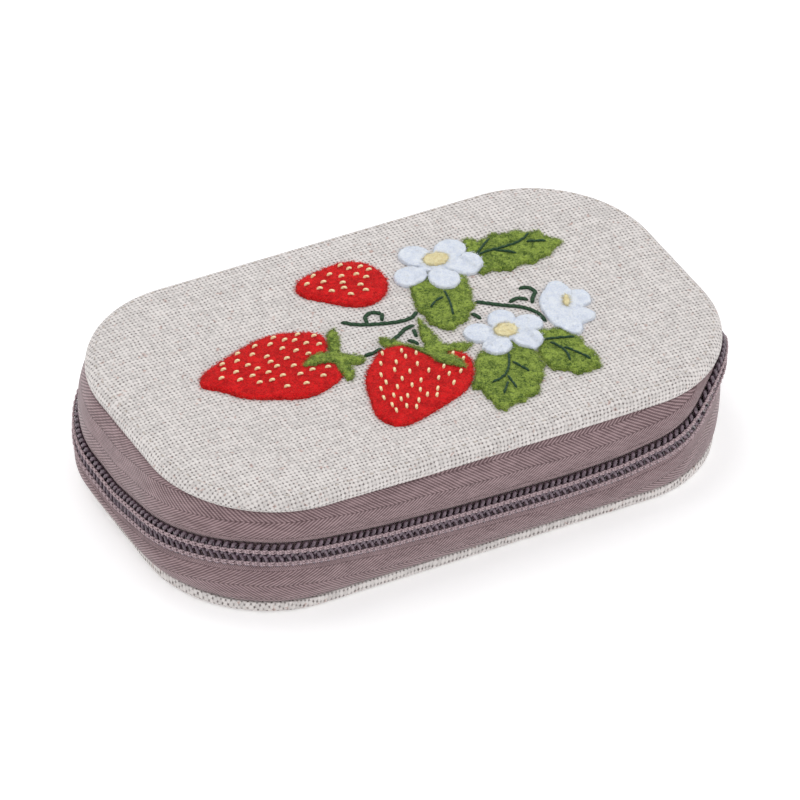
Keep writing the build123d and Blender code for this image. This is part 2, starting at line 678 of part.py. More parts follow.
POCKET_TOP = MIRROR_Z - LINING_TOP
with BuildPart() as lid_pocket:
    layer(POCKET_INSET, POCKET_TOP - LINING, POCKET_TOP)
    with BuildSketch(Plane.XY.offset(POCKET_TOP)):
        with Locations((0, POCKET_EDGE_Y)):
            Rectangle(LENGTH, WIDTH, align=(Align.CENTER, Align.MIN))
    extrude(amount=-LINING, mode=Mode.SUBTRACT)
save(lid_pocket, "lid_pocket")

with BuildPart() as pocket_binding:
    with BuildSketch(Plane.XY.offset(POCKET_TOP - LINING)):
        with Locations((0, POCKET_EDGE_Y)):
            Rectangle(LENGTH - 2 * POCKET_INSET, BINDING, align=(Align.CENTER, Align.MAX))
    extrude(amount=-LINING)
save(pocket_binding, "pocket_binding")
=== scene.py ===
"""A zip-around sewing case with a strawberry applique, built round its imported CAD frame.

Sizes below are millimetres and are scaled to metres as each mesh is made.
"""

import math

import bmesh
import bpy
import numpy as np
from mathutils import Matrix, Vector
from mathutils.geometry import delaunay_2d_cdt


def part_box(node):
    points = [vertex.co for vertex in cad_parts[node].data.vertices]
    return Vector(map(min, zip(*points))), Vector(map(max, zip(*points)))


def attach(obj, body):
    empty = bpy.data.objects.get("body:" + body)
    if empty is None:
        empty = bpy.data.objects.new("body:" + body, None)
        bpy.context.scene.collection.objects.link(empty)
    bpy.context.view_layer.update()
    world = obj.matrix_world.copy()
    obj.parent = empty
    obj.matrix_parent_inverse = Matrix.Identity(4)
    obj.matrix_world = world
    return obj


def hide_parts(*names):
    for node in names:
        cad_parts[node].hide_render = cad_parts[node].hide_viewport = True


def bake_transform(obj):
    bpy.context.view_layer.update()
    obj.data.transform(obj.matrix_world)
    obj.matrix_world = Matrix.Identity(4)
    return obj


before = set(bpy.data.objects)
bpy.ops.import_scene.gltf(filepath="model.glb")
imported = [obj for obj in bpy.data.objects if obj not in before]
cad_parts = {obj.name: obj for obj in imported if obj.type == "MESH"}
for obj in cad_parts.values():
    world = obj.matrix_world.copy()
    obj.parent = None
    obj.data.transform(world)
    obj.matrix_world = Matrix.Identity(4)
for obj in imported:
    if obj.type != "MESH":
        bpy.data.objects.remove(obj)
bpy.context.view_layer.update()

MM = 0.001
CLOTH_UV = "cloth"


def box_of(node):
    """A CAD node's lowest and highest corners, in millimetres."""
    return [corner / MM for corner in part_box(node)]


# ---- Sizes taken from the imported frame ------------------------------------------
COVER_LOW, COVER_HIGH = box_of("lid_cover")
LENGTH = COVER_HIGH.x - COVER_LOW.x
WIDTH = COVER_HIGH.y - COVER_LOW.y
LID_TOP = COVER_HIGH.z
LID_RIM = COVER_LOW.z
BASE_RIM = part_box("base_cover")[1].z / MM
LINING_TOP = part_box("base_lining")[1].z / MM
LID_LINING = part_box("lid_lining")[0].z / MM
COIL_END_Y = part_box("lower_zip_coil")[1].y / MM

# ---- Sizes of the cloth, thread and felt ----------------------------------------
CORNER = 32.0  # the outline's corner radius
LINEN = 0.6  # thicknesses of the cloths
TAPE = 0.4
LINING = 0.5
FELT = 0.9
EYE = 0.55
HEM = 5.4  # how far the covers, tapes and spine turn in
SPINE_TURN = math.radians(20)  # how far the spine runs into the back corners
UP = (0.0, 0.0, 1.0)

# ---- The outline, measured clockwise from the middle of the back ------------------
CENTRE_X = LENGTH / 2 - CORNER
CENTRE_Y = WIDTH / 2 - CORNER
QUARTER = math.pi * CORNER / 2
RIGHT_START = CENTRE_X + QUARTER
FRONT_START = RIGHT_START + 2 * CENTRE_Y + QUARTER
LEFT_START = FRONT_START + 2 * CENTRE_X + QUARTER
BACK_START = LEFT_START + 2 * CENTRE_Y + QUARTER
PERIMETER = BACK_START + CENTRE_X
CORNER_STARTS = (
    CENTRE_X,
    RIGHT_START + 2 * CENTRE_Y,
    FRONT_START + 2 * CENTRE_X,
    BACK_START - QUARTER,
)
TAPE_START = CENTRE_X + SPINE_TURN * CORNER
TAPE_END = BACK_START - SPINE_TURN * CORNER
CHAIN_START = RIGHT_START + CENTRE_Y - COIL_END_Y

# How high the middle of the chain runs, since the tape is slack: (distance, height).
CHAIN_HEIGHTS = (
    (0, 17.0), (126, 17.0), (135, 25.2), (140, 27.0), (150, 27.2), (157, 24.6), (163, 19.8),
    (170, 17.2), (184, 14.7), (200, 14.3), (229, 15.3), (251, 16.6), (272, 19.1), (286, 19.1),
    (298, 17.6), (314, 14.6), (330, 11.4), (352, 12.0), (372, 15.5), (439, 17.0),
)
# How far the chain is drawn in towards the case: (distance, inwards).
CHAIN_DRAWN_IN = ((0, 0.0), (127, 0.0), (138, 1.2), (152, 1.1), (166, 0.2), (439, 0.0))
# How the lid's lower edge lifts and dips: (distance, rise).
LID_EDGE_RISE = (
    (0, 0.0), (150, -0.3), (190, -0.8), (240, -0.5), (265, 0.1), (300, 0.2), (360, 0.0), (439, 0.0),
)
# How much further the lower tape bags out at the left-hand end: (distance, outwards).
LOWER_TAPE_SLACK = ((0, 0.0), (296, 0.0), (318, 1.2), (350, 1.3), (372, 0.3), (439, 0.0))


def colour(red, green, blue):
    """A display colour, 0 to 255, as the linear values a shader takes."""
    linear = []
    for value in (red, green, blue):
        share = value / 255
        linear.append(share / 12.92 if share <= 0.04045 else ((share + 0.055) / 1.055) ** 2.4)
    return (*linear, 1.0)


# ---- Curves and heights ---------------------------------------------------------
def outline(distance, out=0.0):
    """Points on the case's outline, moved out from it, as an array of x and y."""
    distance = np.mod(distance, PERIMETER)
    turned = sum(np.clip(distance - start, 0, QUARTER) for start in CORNER_STARTS) / CORNER
    facing = math.pi / 2 - turned
    middle_x = np.clip(distance, 0, CENTRE_X)
    middle_x = middle_x - np.clip(distance - FRONT_START, 0, 2 * CENTRE_X)
    middle_x = middle_x + np.clip(distance - BACK_START, 0, CENTRE_X)
    middle_y = CENTRE_Y - np.clip(distance - RIGHT_START, 0, 2 * CENTRE_Y)
    middle_y = middle_y + np.clip(distance - LEFT_START, 0, 2 * CENTRE_Y)
    reach = CORNER + out
    return np.stack([middle_x + reach * np.cos(facing), middle_y + reach * np.sin(facing)], -1)


def eased(distance, table, reach=5.0):
    """A smooth curve through a table of (distance, value) rows."""
    places, values = zip(*table)
    offsets = np.linspace(-reach, reach, 11)
    weights = 1 + np.cos(offsets / reach * math.pi)
    total = sum(w * np.interp(distance + o, places, values) for o, w in zip(offsets, weights))
    return total / weights.sum()


def inside(x, y):
    """How far a point lies inside the outline, up to the corner radius."""
    beyond_x = x - np.clip(x, -CENTRE_X, CENTRE_X)
    beyond_y = y - np.clip(y, -CENTRE_Y, CENTRE_Y)
    return CORNER - np.hypot(beyond_x, beyond_y)


def ramped(value, low, high):
    """0 below low, 1 above high, and a smooth rise between them."""
    share = np.clip((value - low) / (high - low), 0, 1)
    return share * share * (3 - 2 * share)


def ripple(x, y):
    """A gentle unevenness between -1 and 1, for cloth over wadding."""
    first = np.sin(0.11 * x + 0.6) * np.sin(0.16 * y - 0.4)
    second = np.sin(0.23 * x - 0.19 * y + 1.7)
    third = np.sin(0.31 * y + 0.12 * x + 0.3) * np.sin(0.27 * x - 2.0)
    return 0.5 * first + 0.3 * second + 0.2 * third


EDGE_DROP = 0.5  # the lid's linen is this far below its highest place at the edge,
PUFF = 0.75  # rises this far again over the wadding,
PUFF_REACH = 10.0  # within this distance of the edge,
UNEVEN = 0.14  # and is uneven by this much


def lid_height(x, y):
    """The height of the lid's linen, which the wadding under it pushes up."""
    depth = inside(x, y)
    puff = PUFF * ramped(depth, 0, PUFF_REACH)
    return LID_TOP - EDGE_DROP + puff + UNEVEN * ripple(x, y) * ramped(depth, 1, 12)


# ---- Meshes ---------------------------------------------------------------------
def linked(name, data):
    """A new object in the scene."""
    made = bpy.data.objects.new(name, data)
    bpy.context.scene.collection.objects.link(made)
    return made


def mesh_object(name, points, faces, uv=None):
    """A smooth-shaded object from points in millimetres; uv has one pair per face corner."""
    mesh = bpy.data.meshes.new(name)
    mesh.from_pydata((np.asarray(points, float) * MM).tolist(), [], [list(f) for f in faces])
    if uv is not None:
        layer = mesh.uv_layers.new(name=CLOTH_UV)
        layer.data.foreach_set("uv", np.asarray(uv, np.float32).ravel())
    mesh.shade_smooth()
    mesh.update()
    return linked(name, mesh)


def grid_object(name, points, uv, closed=False):
    """A sheet of quads from rows of points. A closed sheet's columns join up into a ring."""
    rows, columns = points.shape[:2]
    faces = []
    corners = []
    for row in range(rows - 1):
        for column in range(columns if closed else columns - 1):
            after = (column + 1) % columns
            faces.append((
                row * columns + column,
                row * columns + after,
                (row + 1) * columns + after,
                (row + 1) * columns + column,
            ))
            next_uv = column + 1
            corners += [uv[row, column], uv[row, next_uv], uv[row + 1, next_uv], uv[row + 1, column]]
    return mesh_object(name, points.reshape(-1, 3), faces, corners)


def apply_modifiers(piece):
    """Replace a piece's mesh by the one its modifiers make."""
    graph = bpy.context.evaluated_depsgraph_get()
    result = bpy.data.meshes.new_from_object(piece.evaluated_get(graph))
    piece.modifiers.clear()
    piece.data = result


def thicken(piece, thickness):
    """Give a sheet its thickness, behind its outer face."""
    solidify = piece.modifiers.new("thickness", "SOLIDIFY")
    solidify.thickness = thickness * MM
    solidify.offset = -1.0
    apply_modifiers(piece)


def weld(piece, turn_out=False):
    """Join points that lie on each other. turn_out also turns every face outwards."""
    mesh = bmesh.new()
    mesh.from_mesh(piece.data)
    bmesh.ops.remove_doubles(mesh, verts=mesh.verts, dist=0.01 * MM)
    bmesh.ops.dissolve_degenerate(mesh, edges=mesh.edges, dist=0.001 * MM)
    if turn_out:
        bmesh.ops.recalc_face_normals(mesh, faces=mesh.faces)
    mesh.to_mesh(piece.data)
    mesh.free()


def unit(vectors):
    """Vectors scaled to length 1."""
    return vectors / np.linalg.norm(vectors, axis=-1, keepdims=True)


def travelled(line):
    """How far along a line each of its points is."""
    return np.concatenate([[0], np.cumsum(np.linalg.norm(np.diff(line, axis=0), axis=1))])


def headings(loop):
    """The direction along a closed line at each of its points."""
    return unit(np.roll(loop, -1, axis=0) - np.roll(loop, 1, axis=0))


def left_of(way):
    """Flat directions turned a quarter turn to the left."""
    return np.stack([-way[..., 1], way[..., 0]], -1)


def tube(points, radii, reference, sides=8, flat=1.0):
    """A closed tube along points: vertices, faces and UVs. flat widens it along reference."""
    points = np.asarray(points, float)
    count = len(points)
    along = unit(np.gradient(points, axis=0))
    across = unit(np.cross(along, np.broadcast_to(reference, points.shape)))
    rise = np.cross(across, along)
    angles = np.arange(sides) / sides * 2 * math.pi
    radii = np.broadcast_to(radii, (count,))
    flat = np.broadcast_to(flat, (count,))[:, None, None]
    ring = across[:, None] * np.cos(angles)[None, :, None]
    ring = ring + flat * rise[:, None] * np.sin(angles)[None, :, None]
    vertices = points[:, None] + radii[:, None, None] * ring
    travel = travelled(points)
    faces = []
    corners = []
    for step in range(count - 1):
        for side in range(sides):
            after = (side + 1) % sides
            here = step * sides
            faces.append((here + side, here + after, here + sides + after, here + sides + side))
            near, far = side / sides, (side + 1) / sides
            low, high = travel[step], travel[step + 1]
            corners += [(low, near), (low, far), (high, far), (high, near)]
    faces.append(tuple(range(sides - 1, -1, -1)))
    faces.append(tuple(range((count - 1) * sides, count * sides)))
    corners += [(travel[0], 0)] * sides + [(travel[-1], 0)] * sides
    return vertices.reshape(-1, 3), faces, corners


def join_tubes(name, tubes):
    """One object from many tubes."""
    vertices = []
    faces = []
    corners = []
    start = 0
    for points, sides, uv in tubes:
        faces += [tuple(index + start for index in face) for face in sides]
        vertices.append(points)
        corners += uv
        start += len(points)
    return mesh_object(name, np.concatenate(vertices), faces, corners)


# ---- Shaders --------------------------------------------------------------------
class Signal:
    """A value that varies over a surface, which ordinary arithmetic works on."""

    def __init__(self, shader, socket):
        self.shader = shader
        self.socket = socket

    def __add__(self, other):
        return self.shader.math("ADD", self, other)

    def __sub__(self, other):
        return self.shader.math("SUBTRACT", self, other)

    def __mul__(self, other):
        return self.shader.math("MULTIPLY", self, other)

    def __truediv__(self, other):
        return self.shader.math("DIVIDE", self, other)

    def __abs__(self):
        return self.shader.math("ABSOLUTE", self)

    def wave(self, length=2.0):
        """A sine wave that repeats once in each length."""
        return self.shader.math("SINE", self * (2 * math.pi / length))


class Shader:
    """A material under construction, with short calls for its nodes."""

    def __init__(self, name, roughness, sheen=0.0, coat=0.0, specular=0.5):
        self.material = bpy.data.materials.new(name)
        self.material.use_nodes = True
        self.tree = self.material.node_tree
        self.surface = self.tree.nodes["Principled BSDF"]
        self.surface.inputs["Roughness"].default_value = roughness
        self.surface.inputs["Sheen Weight"].default_value = sheen
        self.surface.inputs["Sheen Roughness"].default_value = 0.5
        self.surface.inputs["Coat Weight"].default_value = coat
        self.surface.inputs["Specular IOR Level"].default_value = specular

    def node(self, kind, **inputs):
        made = self.tree.nodes.new(kind)
        for name, value in inputs.items():
            self.feed(made.inputs[name], value)
        return made

    def feed(self, socket, value):
        if isinstance(value, Signal):
            self.tree.links.new(value.socket, socket)
        else:
            socket.default_value = value

    def math(self, operation, *values):
        made = self.tree.nodes.new("ShaderNodeMath")
        made.operation = operation
        for socket, value in zip(made.inputs, values):
            self.feed(socket, value)
        return Signal(self, made.outputs[0])

    def cloth(self):
        """The cloth's own coordinates in millimetres: along and across."""
        made = self.tree.nodes.new("ShaderNodeUVMap")
        made.uv_map = CLOTH_UV
        split = self.node("ShaderNodeSeparateXYZ", Vector=Signal(self, made.outputs[0]))
        return Signal(self, split.outputs[0]), Signal(self, split.outputs[1])

    def solid(self):
        """The piece's own coordinates in millimetres."""
        scaled = self.tree.nodes.new("ShaderNodeVectorMath")
        scaled.operation = "SCALE"
        self.feed(scaled.inputs[0], Signal(self, self.node("ShaderNodeTexCoord").outputs["Object"]))
        scaled.inputs["Scale"].default_value = 1 / MM
        return Signal(self, scaled.outputs[0])

    def vector(self, x, y, z=0.0):
        return Signal(self, self.node("ShaderNodeCombineXYZ", X=x, Y=y, Z=z).outputs[0])

    def noise(self, place, scale, detail=2.0, distortion=0.0):
        inputs = {"Vector": place, "Scale": scale, "Detail": detail, "Distortion": distortion}
        return Signal(self, self.node("ShaderNodeTexNoise", **inputs).outputs[0])

    def between(self, value, low, high, start=0.0, end=1.0):
        """A smooth change from start to end as the value goes from low to high."""
        made = self.tree.nodes.new("ShaderNodeMapRange")
        made.interpolation_type = "SMOOTHSTEP"
        names = ("Value", "From Min", "From Max", "To Min", "To Max")
        for name, setting in zip(names, (value, low, high, start, end)):
            self.feed(made.inputs[name], setting)
        return Signal(self, made.outputs[0])

    def mix(self, share, first, second):
        made = self.tree.nodes.new("ShaderNodeMix")
        made.data_type = "RGBA"
        for index, value in ((0, share), (6, first), (7, second)):
            self.feed(made.inputs[index], value)
        return Signal(self, made.outputs[2])

    def finish(self, base, height, depth, strength=1.0):
        """Set the colour, and a bump of the given depth in millimetres."""
        self.feed(self.surface.inputs["Base Color"], base)
        bump = self.node("ShaderNodeBump", Height=height, Strength=strength, Distance=depth * MM)
        self.feed(self.surface.inputs["Normal"], Signal(self, bump.outputs[0]))
        return self.material


def woven(name, thread, gap_shade, pitch, gap_shade_depth, relief, flecks=None):
    """Plain weave: threads over and under each other, with painted shade in the gaps between."""
    shader = Shader(name, 0.9, sheen=0.15, specular=0.2)
    along, across = shader.cloth()

    def patchy(x, y, layer, scale, detail, distortion=0.0):
        return shader.noise(shader.vector(x, y, layer), scale, detail, distortion)

    warp = along / pitch + (patchy(along, across, 0.0, 0.16, 3) * 1.6 - 0.8)
    weft = across / pitch + (patchy(across, along, 5.0, 0.16, 3) * 1.6 - 0.8)
    warp_wave, weft_wave = warp.wave(), weft.wave()
    warp_height = shader.math("SIGN", warp_wave) * weft_wave * 0.38 + abs(warp_wave) * 0.62
    weft_height = shader.math("SIGN", weft_wave) * warp_wave * -0.38 + abs(weft_wave) * 0.62
    height = shader.math("MAXIMUM", warp_height, weft_height)
    warp_tone = patchy(shader.math("FLOOR", warp), weft * 0.12, 0.0, 1.37, 2)
    weft_tone = patchy(shader.math("FLOOR", weft), warp * 0.12, 9.0, 1.37, 2)
    warp_shows = shader.math("GREATER_THAN", warp_height, weft_height)
    tone = weft_tone + warp_shows * (warp_tone - weft_tone)
    pale = tuple(min(1.0, c * 1.08) for c in thread[:3]) + (1.0,)
    dull = tuple(c * 0.88 for c in thread[:3]) + (1.0,)
    base = shader.mix(shader.between(tone, 0.34, 0.62), dull, pale)
    if flecks:
        spots = patchy(along, across, 3.0, 0.75, 3, 0.6)
        base = shader.mix(shader.between(spots, 0.61, 0.74, 0.0, 0.75), base, colour(*flecks))
        slubs = patchy(along * 0.25, across, 6.0, 0.8, 2)
        base = shader.mix(shader.between(slubs, 0.62, 0.74, 0.0, 0.4), base, pale)
    # Painted shade: the gap colour darkens the low places between the threads, by up to the gap
    # shade depth and more where the weave is open.
    openness = shader.between(patchy(along, across, 11.0, 0.45, 3), 0.34, 0.62, 0.45, 1.0)
    base = shader.mix(shader.between(height, 0.20, 0.66, gap_shade_depth, 0.0) * openness, base, gap_shade)
    hairs = patchy(along, across, 2.0, 5.0, 3)
    return shader.finish(base, hairs * 0.35 + height, relief, 0.8)


def herringbone(name, light, dark):
    """The zip tape's ribs, which turn back on themselves in rows beside a plain edge."""
    shader = Shader(name, 0.62, sheen=0.25, specular=0.35)
    along, across = shader.cloth()
    zone = shader.math("PINGPONG", across - 1.9, 4.6)
    wander = shader.noise(shader.vector(along, across), 0.25, 2)
    rib = (wander * 0.5 + (zone * 1.35 + along) / 1.18).wave(1.0) * 0.5 + 0.5
    rib = rib * ((along * 0.45 + across * 1.75).wave(1.0) * 0.2 + 0.8)
    plain = along.wave(0.55) * across.wave(0.75) * 0.5 + 0.5
    ribbed = shader.between(abs(across), 1.7, 2.1)
    pattern = ribbed * (rib - plain) + plain
    # Painted shade: the colour darkens in the grooves of the ribs and of the plain weave, and along
    # the lines where the ribs turn back; the noise tone is random.
    turn = shader.between(abs(zone - 2.3), 2.05, 2.3, 0.0, 0.25)
    tone = shader.noise(shader.vector(along * 0.3, across, 4.0), 0.9, 3)
    level = tone * 0.5 + (pattern * 0.62 - 0.12) - turn
    base = shader.mix(shader.between(level, 0.0, 0.85), dark, light)
    return shader.finish(base, pattern, 0.16, 0.9)


def felted(name, tone, deep, sheen_tint=(1.0, 1.0, 1.0, 1.0)):
    """Wool felt: matted fibres, a soft sheen, cloudy colour and painted shade between the tufts."""
    shader = Shader(name, 0.95, sheen=0.18, specular=0.08)
    shader.surface.inputs["Sheen Tint"].default_value = sheen_tint
    place = shader.solid()
    clouds = shader.noise(place, 0.45, 2, 0.4)
    tufts = shader.noise(place, 1.7, 3, 1.2)
    fibres = shader.noise(place, 4.2, 4, 2.0)
    # The clouds are random tone, but the tufts and fibres also make the bump, so their deep colour
    # is painted shade in the hollows between them.
    mottle_and_tuft_shade = clouds * 0.25 + tufts * 0.45 + fibres * 0.3
    base = shader.mix(shader.between(mottle_and_tuft_shade, 0.40, 0.59), deep, tone)
    return shader.finish(base, tufts * 0.8 + fibres, 0.30, 0.8)


def twisted(name, tone, deep, turn=0.9, sheen=0.3, roughness=0.7):
    """Sewing thread or yarn, with its plies twisted round each other."""
    shader = Shader(name, roughness, sheen=sheen, specular=0.3)
    along, around = shader.cloth()
    ply = abs((along / turn + around * 2.0).wave())
    fuzz = shader.noise(shader.solid(), 4.0, 3, 0.5)
    # Painted shade: the colour darkens in the grooves between the plies, which the bump follows too;
    # the fuzz is random tone.
    level = fuzz * 0.5 + ply * 0.6
    base = shader.mix(shader.between(level, 0.2, 0.75), deep, tone)
    return shader.finish(base, level, 0.14, 0.8)


def moulded(name, tone, deep, roughness, coat=0.0, grain=1.2):
    """Smooth nylon, enamel or board, with a faint unevenness and worn patches."""
    shader = Shader(name, roughness, coat=coat)
    shader.surface.inputs["Coat Roughness"].default_value = 0.2
    wear = shader.noise(shader.solid(), grain, 4)
    base = shader.mix(shader.between(wear, 0.35, 0.7), deep, tone)
    return shader.finish(base, wear, 0.04, 0.5)


# Every finish: how it is made, its name, its light and dark colours (a weave's dark colour is
# painted shade in its gaps; the tape's, a felt's and a thread's is painted shade in hollows as well
# as random tone), and then a weave's pitch, gap shade depth, relief and flecks, a felt's sheen, a
# thread's twist, sheen and roughness, or a moulding's roughness, coat and grain.
FINISHES = (
    (woven, "linen", (222, 216, 213), (88, 76, 74), 1.05, 0.92, 0.35, (190, 156, 146)),
    (woven, "lining", (205, 188, 190), (140, 122, 128), 0.5, 0.5, 0.12),
    (woven, "elastic", (176, 160, 168), (96, 84, 92), 0.8, 1.0, 0.3),
    (herringbone, "zip_tape", (176, 148, 151), (86, 62, 65)),
    (felted, "wadding", (236, 234, 228), (205, 202, 196)),
    (felted, "felt_red", (238, 30, 34), (176, 6, 16), (1.0, 0.4, 0.35, 1.0)),
    (felted, "felt_green", (160, 182, 78), (50, 78, 22), (0.9, 1.0, 0.6, 1.0)),
    (felted, "felt_white", (243, 248, 255), (220, 228, 244)),
    (felted, "felt_yellow", (252, 242, 196), (232, 214, 158), (1.0, 0.95, 0.8, 1.0)),
    (felted, "felt_cream", (250, 244, 234), (228, 216, 202), (1.0, 0.97, 0.9, 1.0)),
    # The nap finishes repeat the felt colours, most of them lighter: painted highlight on the loose
    # fibres.
    (felted, "nap_red", (255, 70, 62), (214, 26, 30), (1.0, 0.6, 0.5, 1.0)),
    (felted, "nap_green", (184, 204, 104), (112, 140, 50), (1.0, 1.0, 0.8, 1.0)),
    (felted, "nap_white", (250, 252, 255), (230, 236, 248)),
    (felted, "nap_yellow", (255, 250, 220), (240, 224, 176), (1.0, 1.0, 0.9, 1.0)),
    (felted, "nap_cream", (250, 244, 232), (228, 218, 200)),
    (twisted, "thread_cream", (252, 232, 184), (222, 184, 124)),
    (twisted, "thread_green", (46, 78, 52), (18, 38, 26), 1.1, 0.1, 0.9),
    (twisted, "thread_brown", (206, 196, 186), (132, 118, 110)),
    (twisted, "chain_thread", (186, 163, 167), (106, 86, 92), 0.7, 0.1, 0.6),
    (moulded, "zip_coil", (120, 98, 111), (78, 60, 71), 0.16, 0.8),
    (moulded, "slider_metal", (150, 130, 138), (128, 108, 116), 0.3, 0.6),
    (moulded, "board", (196, 184, 164), (170, 156, 134), 0.8, 0.0, 0.4),
)
FINISH = {
    name: make(name, colour(*light), colour(*dark), *more)
    for make, name, light, dark, *more in FINISHES
}


def dress(piece, finish, body, slot=None):
    """Give a piece its material and the body it rides on. The slot argument is not used."""
    piece.data.materials.clear()
    piece.data.materials.append(FINISH[finish])
    slot or finish
    if body:
        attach(piece, body)


# ---- Covers ---------------------------------------------------------------------
COLUMNS = 440
AROUND = np.linspace(0, PERIMETER, COLUMNS, endpoint=False)
HALF_RIDGE = (LENGTH - WIDTH) / 2
RIM_FOLD = 0.3
RIM_BOW = 0.05
LID_ROUNDING = 2.8
BASE_ROUNDING = 0.9


def lid_edge(distance):
    """The height of the lid's lower edge."""
    return LID_RIM + eased(distance, LID_EDGE_RISE, 12.0)


def panel_rows(inset, height, count):
    """Rows from the middle of a flat panel out to its edge, with their cloth coordinates."""
    edge = outline(AROUND, -inset)
    ridge = np.stack([np.clip(edge[:, 0], -HALF_RIDGE, HALF_RIDGE), 0 * edge[:, 1]], -1)
    rows = []
    flat = []
    for share in np.linspace(0, 1, count):
        place = ridge + (edge - ridge) * share
        rows.append(np.column_stack([place, height(place[:, 0], place[:, 1])]))
        flat.append(place)
    return rows, flat


def add_row(rows, flat, out, height, travel):
    """One more row beyond a panel's edge; travel is how much cloth has run out to it."""
    place = outline(AROUND, out)
    rows.append(np.column_stack([place, np.broadcast_to(height, (COLUMNS,))]))
    flat.append(outline(AROUND, travel))


def ring_object(name, rows, flat, flip=False):
    """A welded sheet from closed rows."""
    flat = np.array(flat)
    flat = np.concatenate([flat, flat[:, :1]], axis=1)
    points = np.array(rows)
    if flip:
        points = points[:, ::-1]
        flat = flat[:, ::-1]
    piece = grid_object(name, points, flat, closed=True)
    weld(piece)
    return piece


def make_cover(name, height, radius, edge, down, flip):
    """Linen over a panel: its face, its rounded edge, its rim and the hem turned in behind.

    down is -1 where the rim hangs down from the face and 1 where it stands up.
    """
    rows, flat = panel_rows(radius, height, 46)
    brim = rows[-1][:, 2]
    for angle in np.linspace(0, math.pi / 2, 8)[1:]:
        travel = -radius + radius * angle
        level = brim + down * radius * (1 - math.cos(angle))
        add_row(rows, flat, -radius + radius * math.sin(angle), level, travel)
    start = brim + down * radius
    target = edge - down * RIM_FOLD
    for share in (0.35, 0.7, 1.0):
        bow = RIM_BOW * math.sin(share * math.pi)
        add_row(rows, flat, bow, start + (target - start) * share, travel + share)
    travel += 1.0
    for angle in np.linspace(0, math.pi / 2, 5)[1:]:
        turned = edge - down * RIM_FOLD * (1 - math.sin(angle))
        add_row(rows, flat, -RIM_FOLD * (1 - math.cos(angle)), turned, travel + RIM_FOLD * angle)
    for step in (1.2, 2.4, 3.6, 4.8, HEM + LINEN):
        add_row(rows, flat, -step, edge, travel + step)
    piece = ring_object(name, rows, flat, flip)
    thicken(piece, LINEN)
    return piece


def make_covers():
    """The linen over the lid and under the base."""
    lid = make_cover("lid_linen", lid_height, LID_ROUNDING, lid_edge(AROUND), -1, False)
    dress(lid, "linen", "lid")
    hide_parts("lid_cover")
    base_edge = BASE_RIM + 0 * AROUND
    base = make_cover("base_linen", lambda x, y: 0 * x, BASE_ROUNDING, base_edge, 1, True)
    dress(base, "linen", "base")
    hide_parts("base_cover")


# ---- Zip ------------------------------------------------------------------------
CHAIN_OUT = 1.5  # the chain's middle, out from the case's outline
COIL_PITCH = 1.8
COIL_MIDDLE = 1.42  # each coil's middle, above or below the chain's
COIL_REACH = 1.72
COIL_DEPTH = 0.50
COIL_SLANT = 0.4
COIL_STEPS = 14
WIRE = 0.46
SEAM = 1.78  # the row of chain stitches, above or below the chain's middle
SEAM_OUT = 0.93
SEAM_RADII = (0.16, 0.27, 0.31, 0.26, 0.13)
BRINK = 3.35  # where the slack tape turns in behind its coil
TAPE_ROOT = -0.6  # where it comes out from under its panel's hem


def chain_frame(distance):
    """The middle of the chain: its place, and its directions along, outwards and up."""
    def place(at, extra=0.0):
        reach = CHAIN_OUT - eased(at, CHAIN_DRAWN_IN) + extra
        level = outline(at, 0.0) + (outline(at, 1.0) - outline(at, 0.0)) * np.expand_dims(reach, -1)
        return np.concatenate([level, np.expand_dims(eased(at, CHAIN_HEIGHTS), -1)], -1)

    middle = place(distance)
    along = unit(place(distance + 0.4) - place(distance - 0.4))
    outwards = unit(place(distance, 1.0) - middle)
    return middle, along, outwards, np.cross(along, outwards)


def tape_slack(distance, rise, side):
    """How far one side of the tape bags out between its panel and its coil."""
    slack = 1.15 * np.clip(rise / 6.5, 0.1, 1.15)
    if side < 0:
        slack = slack + eased(distance, LOWER_TAPE_SLACK, 10.0)
    waves = np.sin(distance / 3.1) * np.sin(distance / 8.3 + side)
    return slack + 0.14 * waves * np.clip(rise / 10, 0, 1)


def make_tape(name, side, root_level, node, body):
    """One slack side of the zip tape, from under its panel's hem to behind its coil."""
    distance = np.arange(TAPE_START, TAPE_END, 0.8)
    middle, _, outwards, upwards = chain_frame(distance)
    level = root_level(distance)
    under_hem = (-HEM, -3.0, -1.4, TAPE_ROOT)
    rows = [np.column_stack([outline(distance, out), level]) for out in under_hem]
    root = rows.pop()
    brink = middle + side * BRINK * upwards - 0.6 * outwards
    slack = tape_slack(distance, np.linalg.norm(brink - root, axis=1), side)
    for share in np.linspace(0, 1, 20):
        place = share if side > 0 else share**0.75
        bulge = (slack * math.sin(math.pi * place) ** 0.65)[:, None]
        rows.append(root + (brink - root) * share + outwards * bulge)
    edge_row = len(rows) - 1
    for lift in (3.1, 2.4, 1.6, 0.9, 0.3):
        rows.append(middle + side * lift * upwards - 1.05 * outwards)
    points = np.array(rows)
    steps = np.linalg.norm(np.diff(points, axis=0), axis=2)
    travel = np.concatenate([np.zeros((1, len(distance))), np.cumsum(steps, axis=0)])
    across = travel[edge_row] - travel
    uv = np.stack([np.broadcast_to(distance * side, across.shape), across], -1)
    if side < 0:
        points = points[:, ::-1]
        uv = uv[:, ::-1]
    piece = grid_object(name, points, uv)
    thicken(piece, TAPE)
    dress(piece, "zip_tape", body)
    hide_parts(node)
    flat = (round(float(travel[-1].mean())) * MM, round(TAPE_END - TAPE_START) * MM)


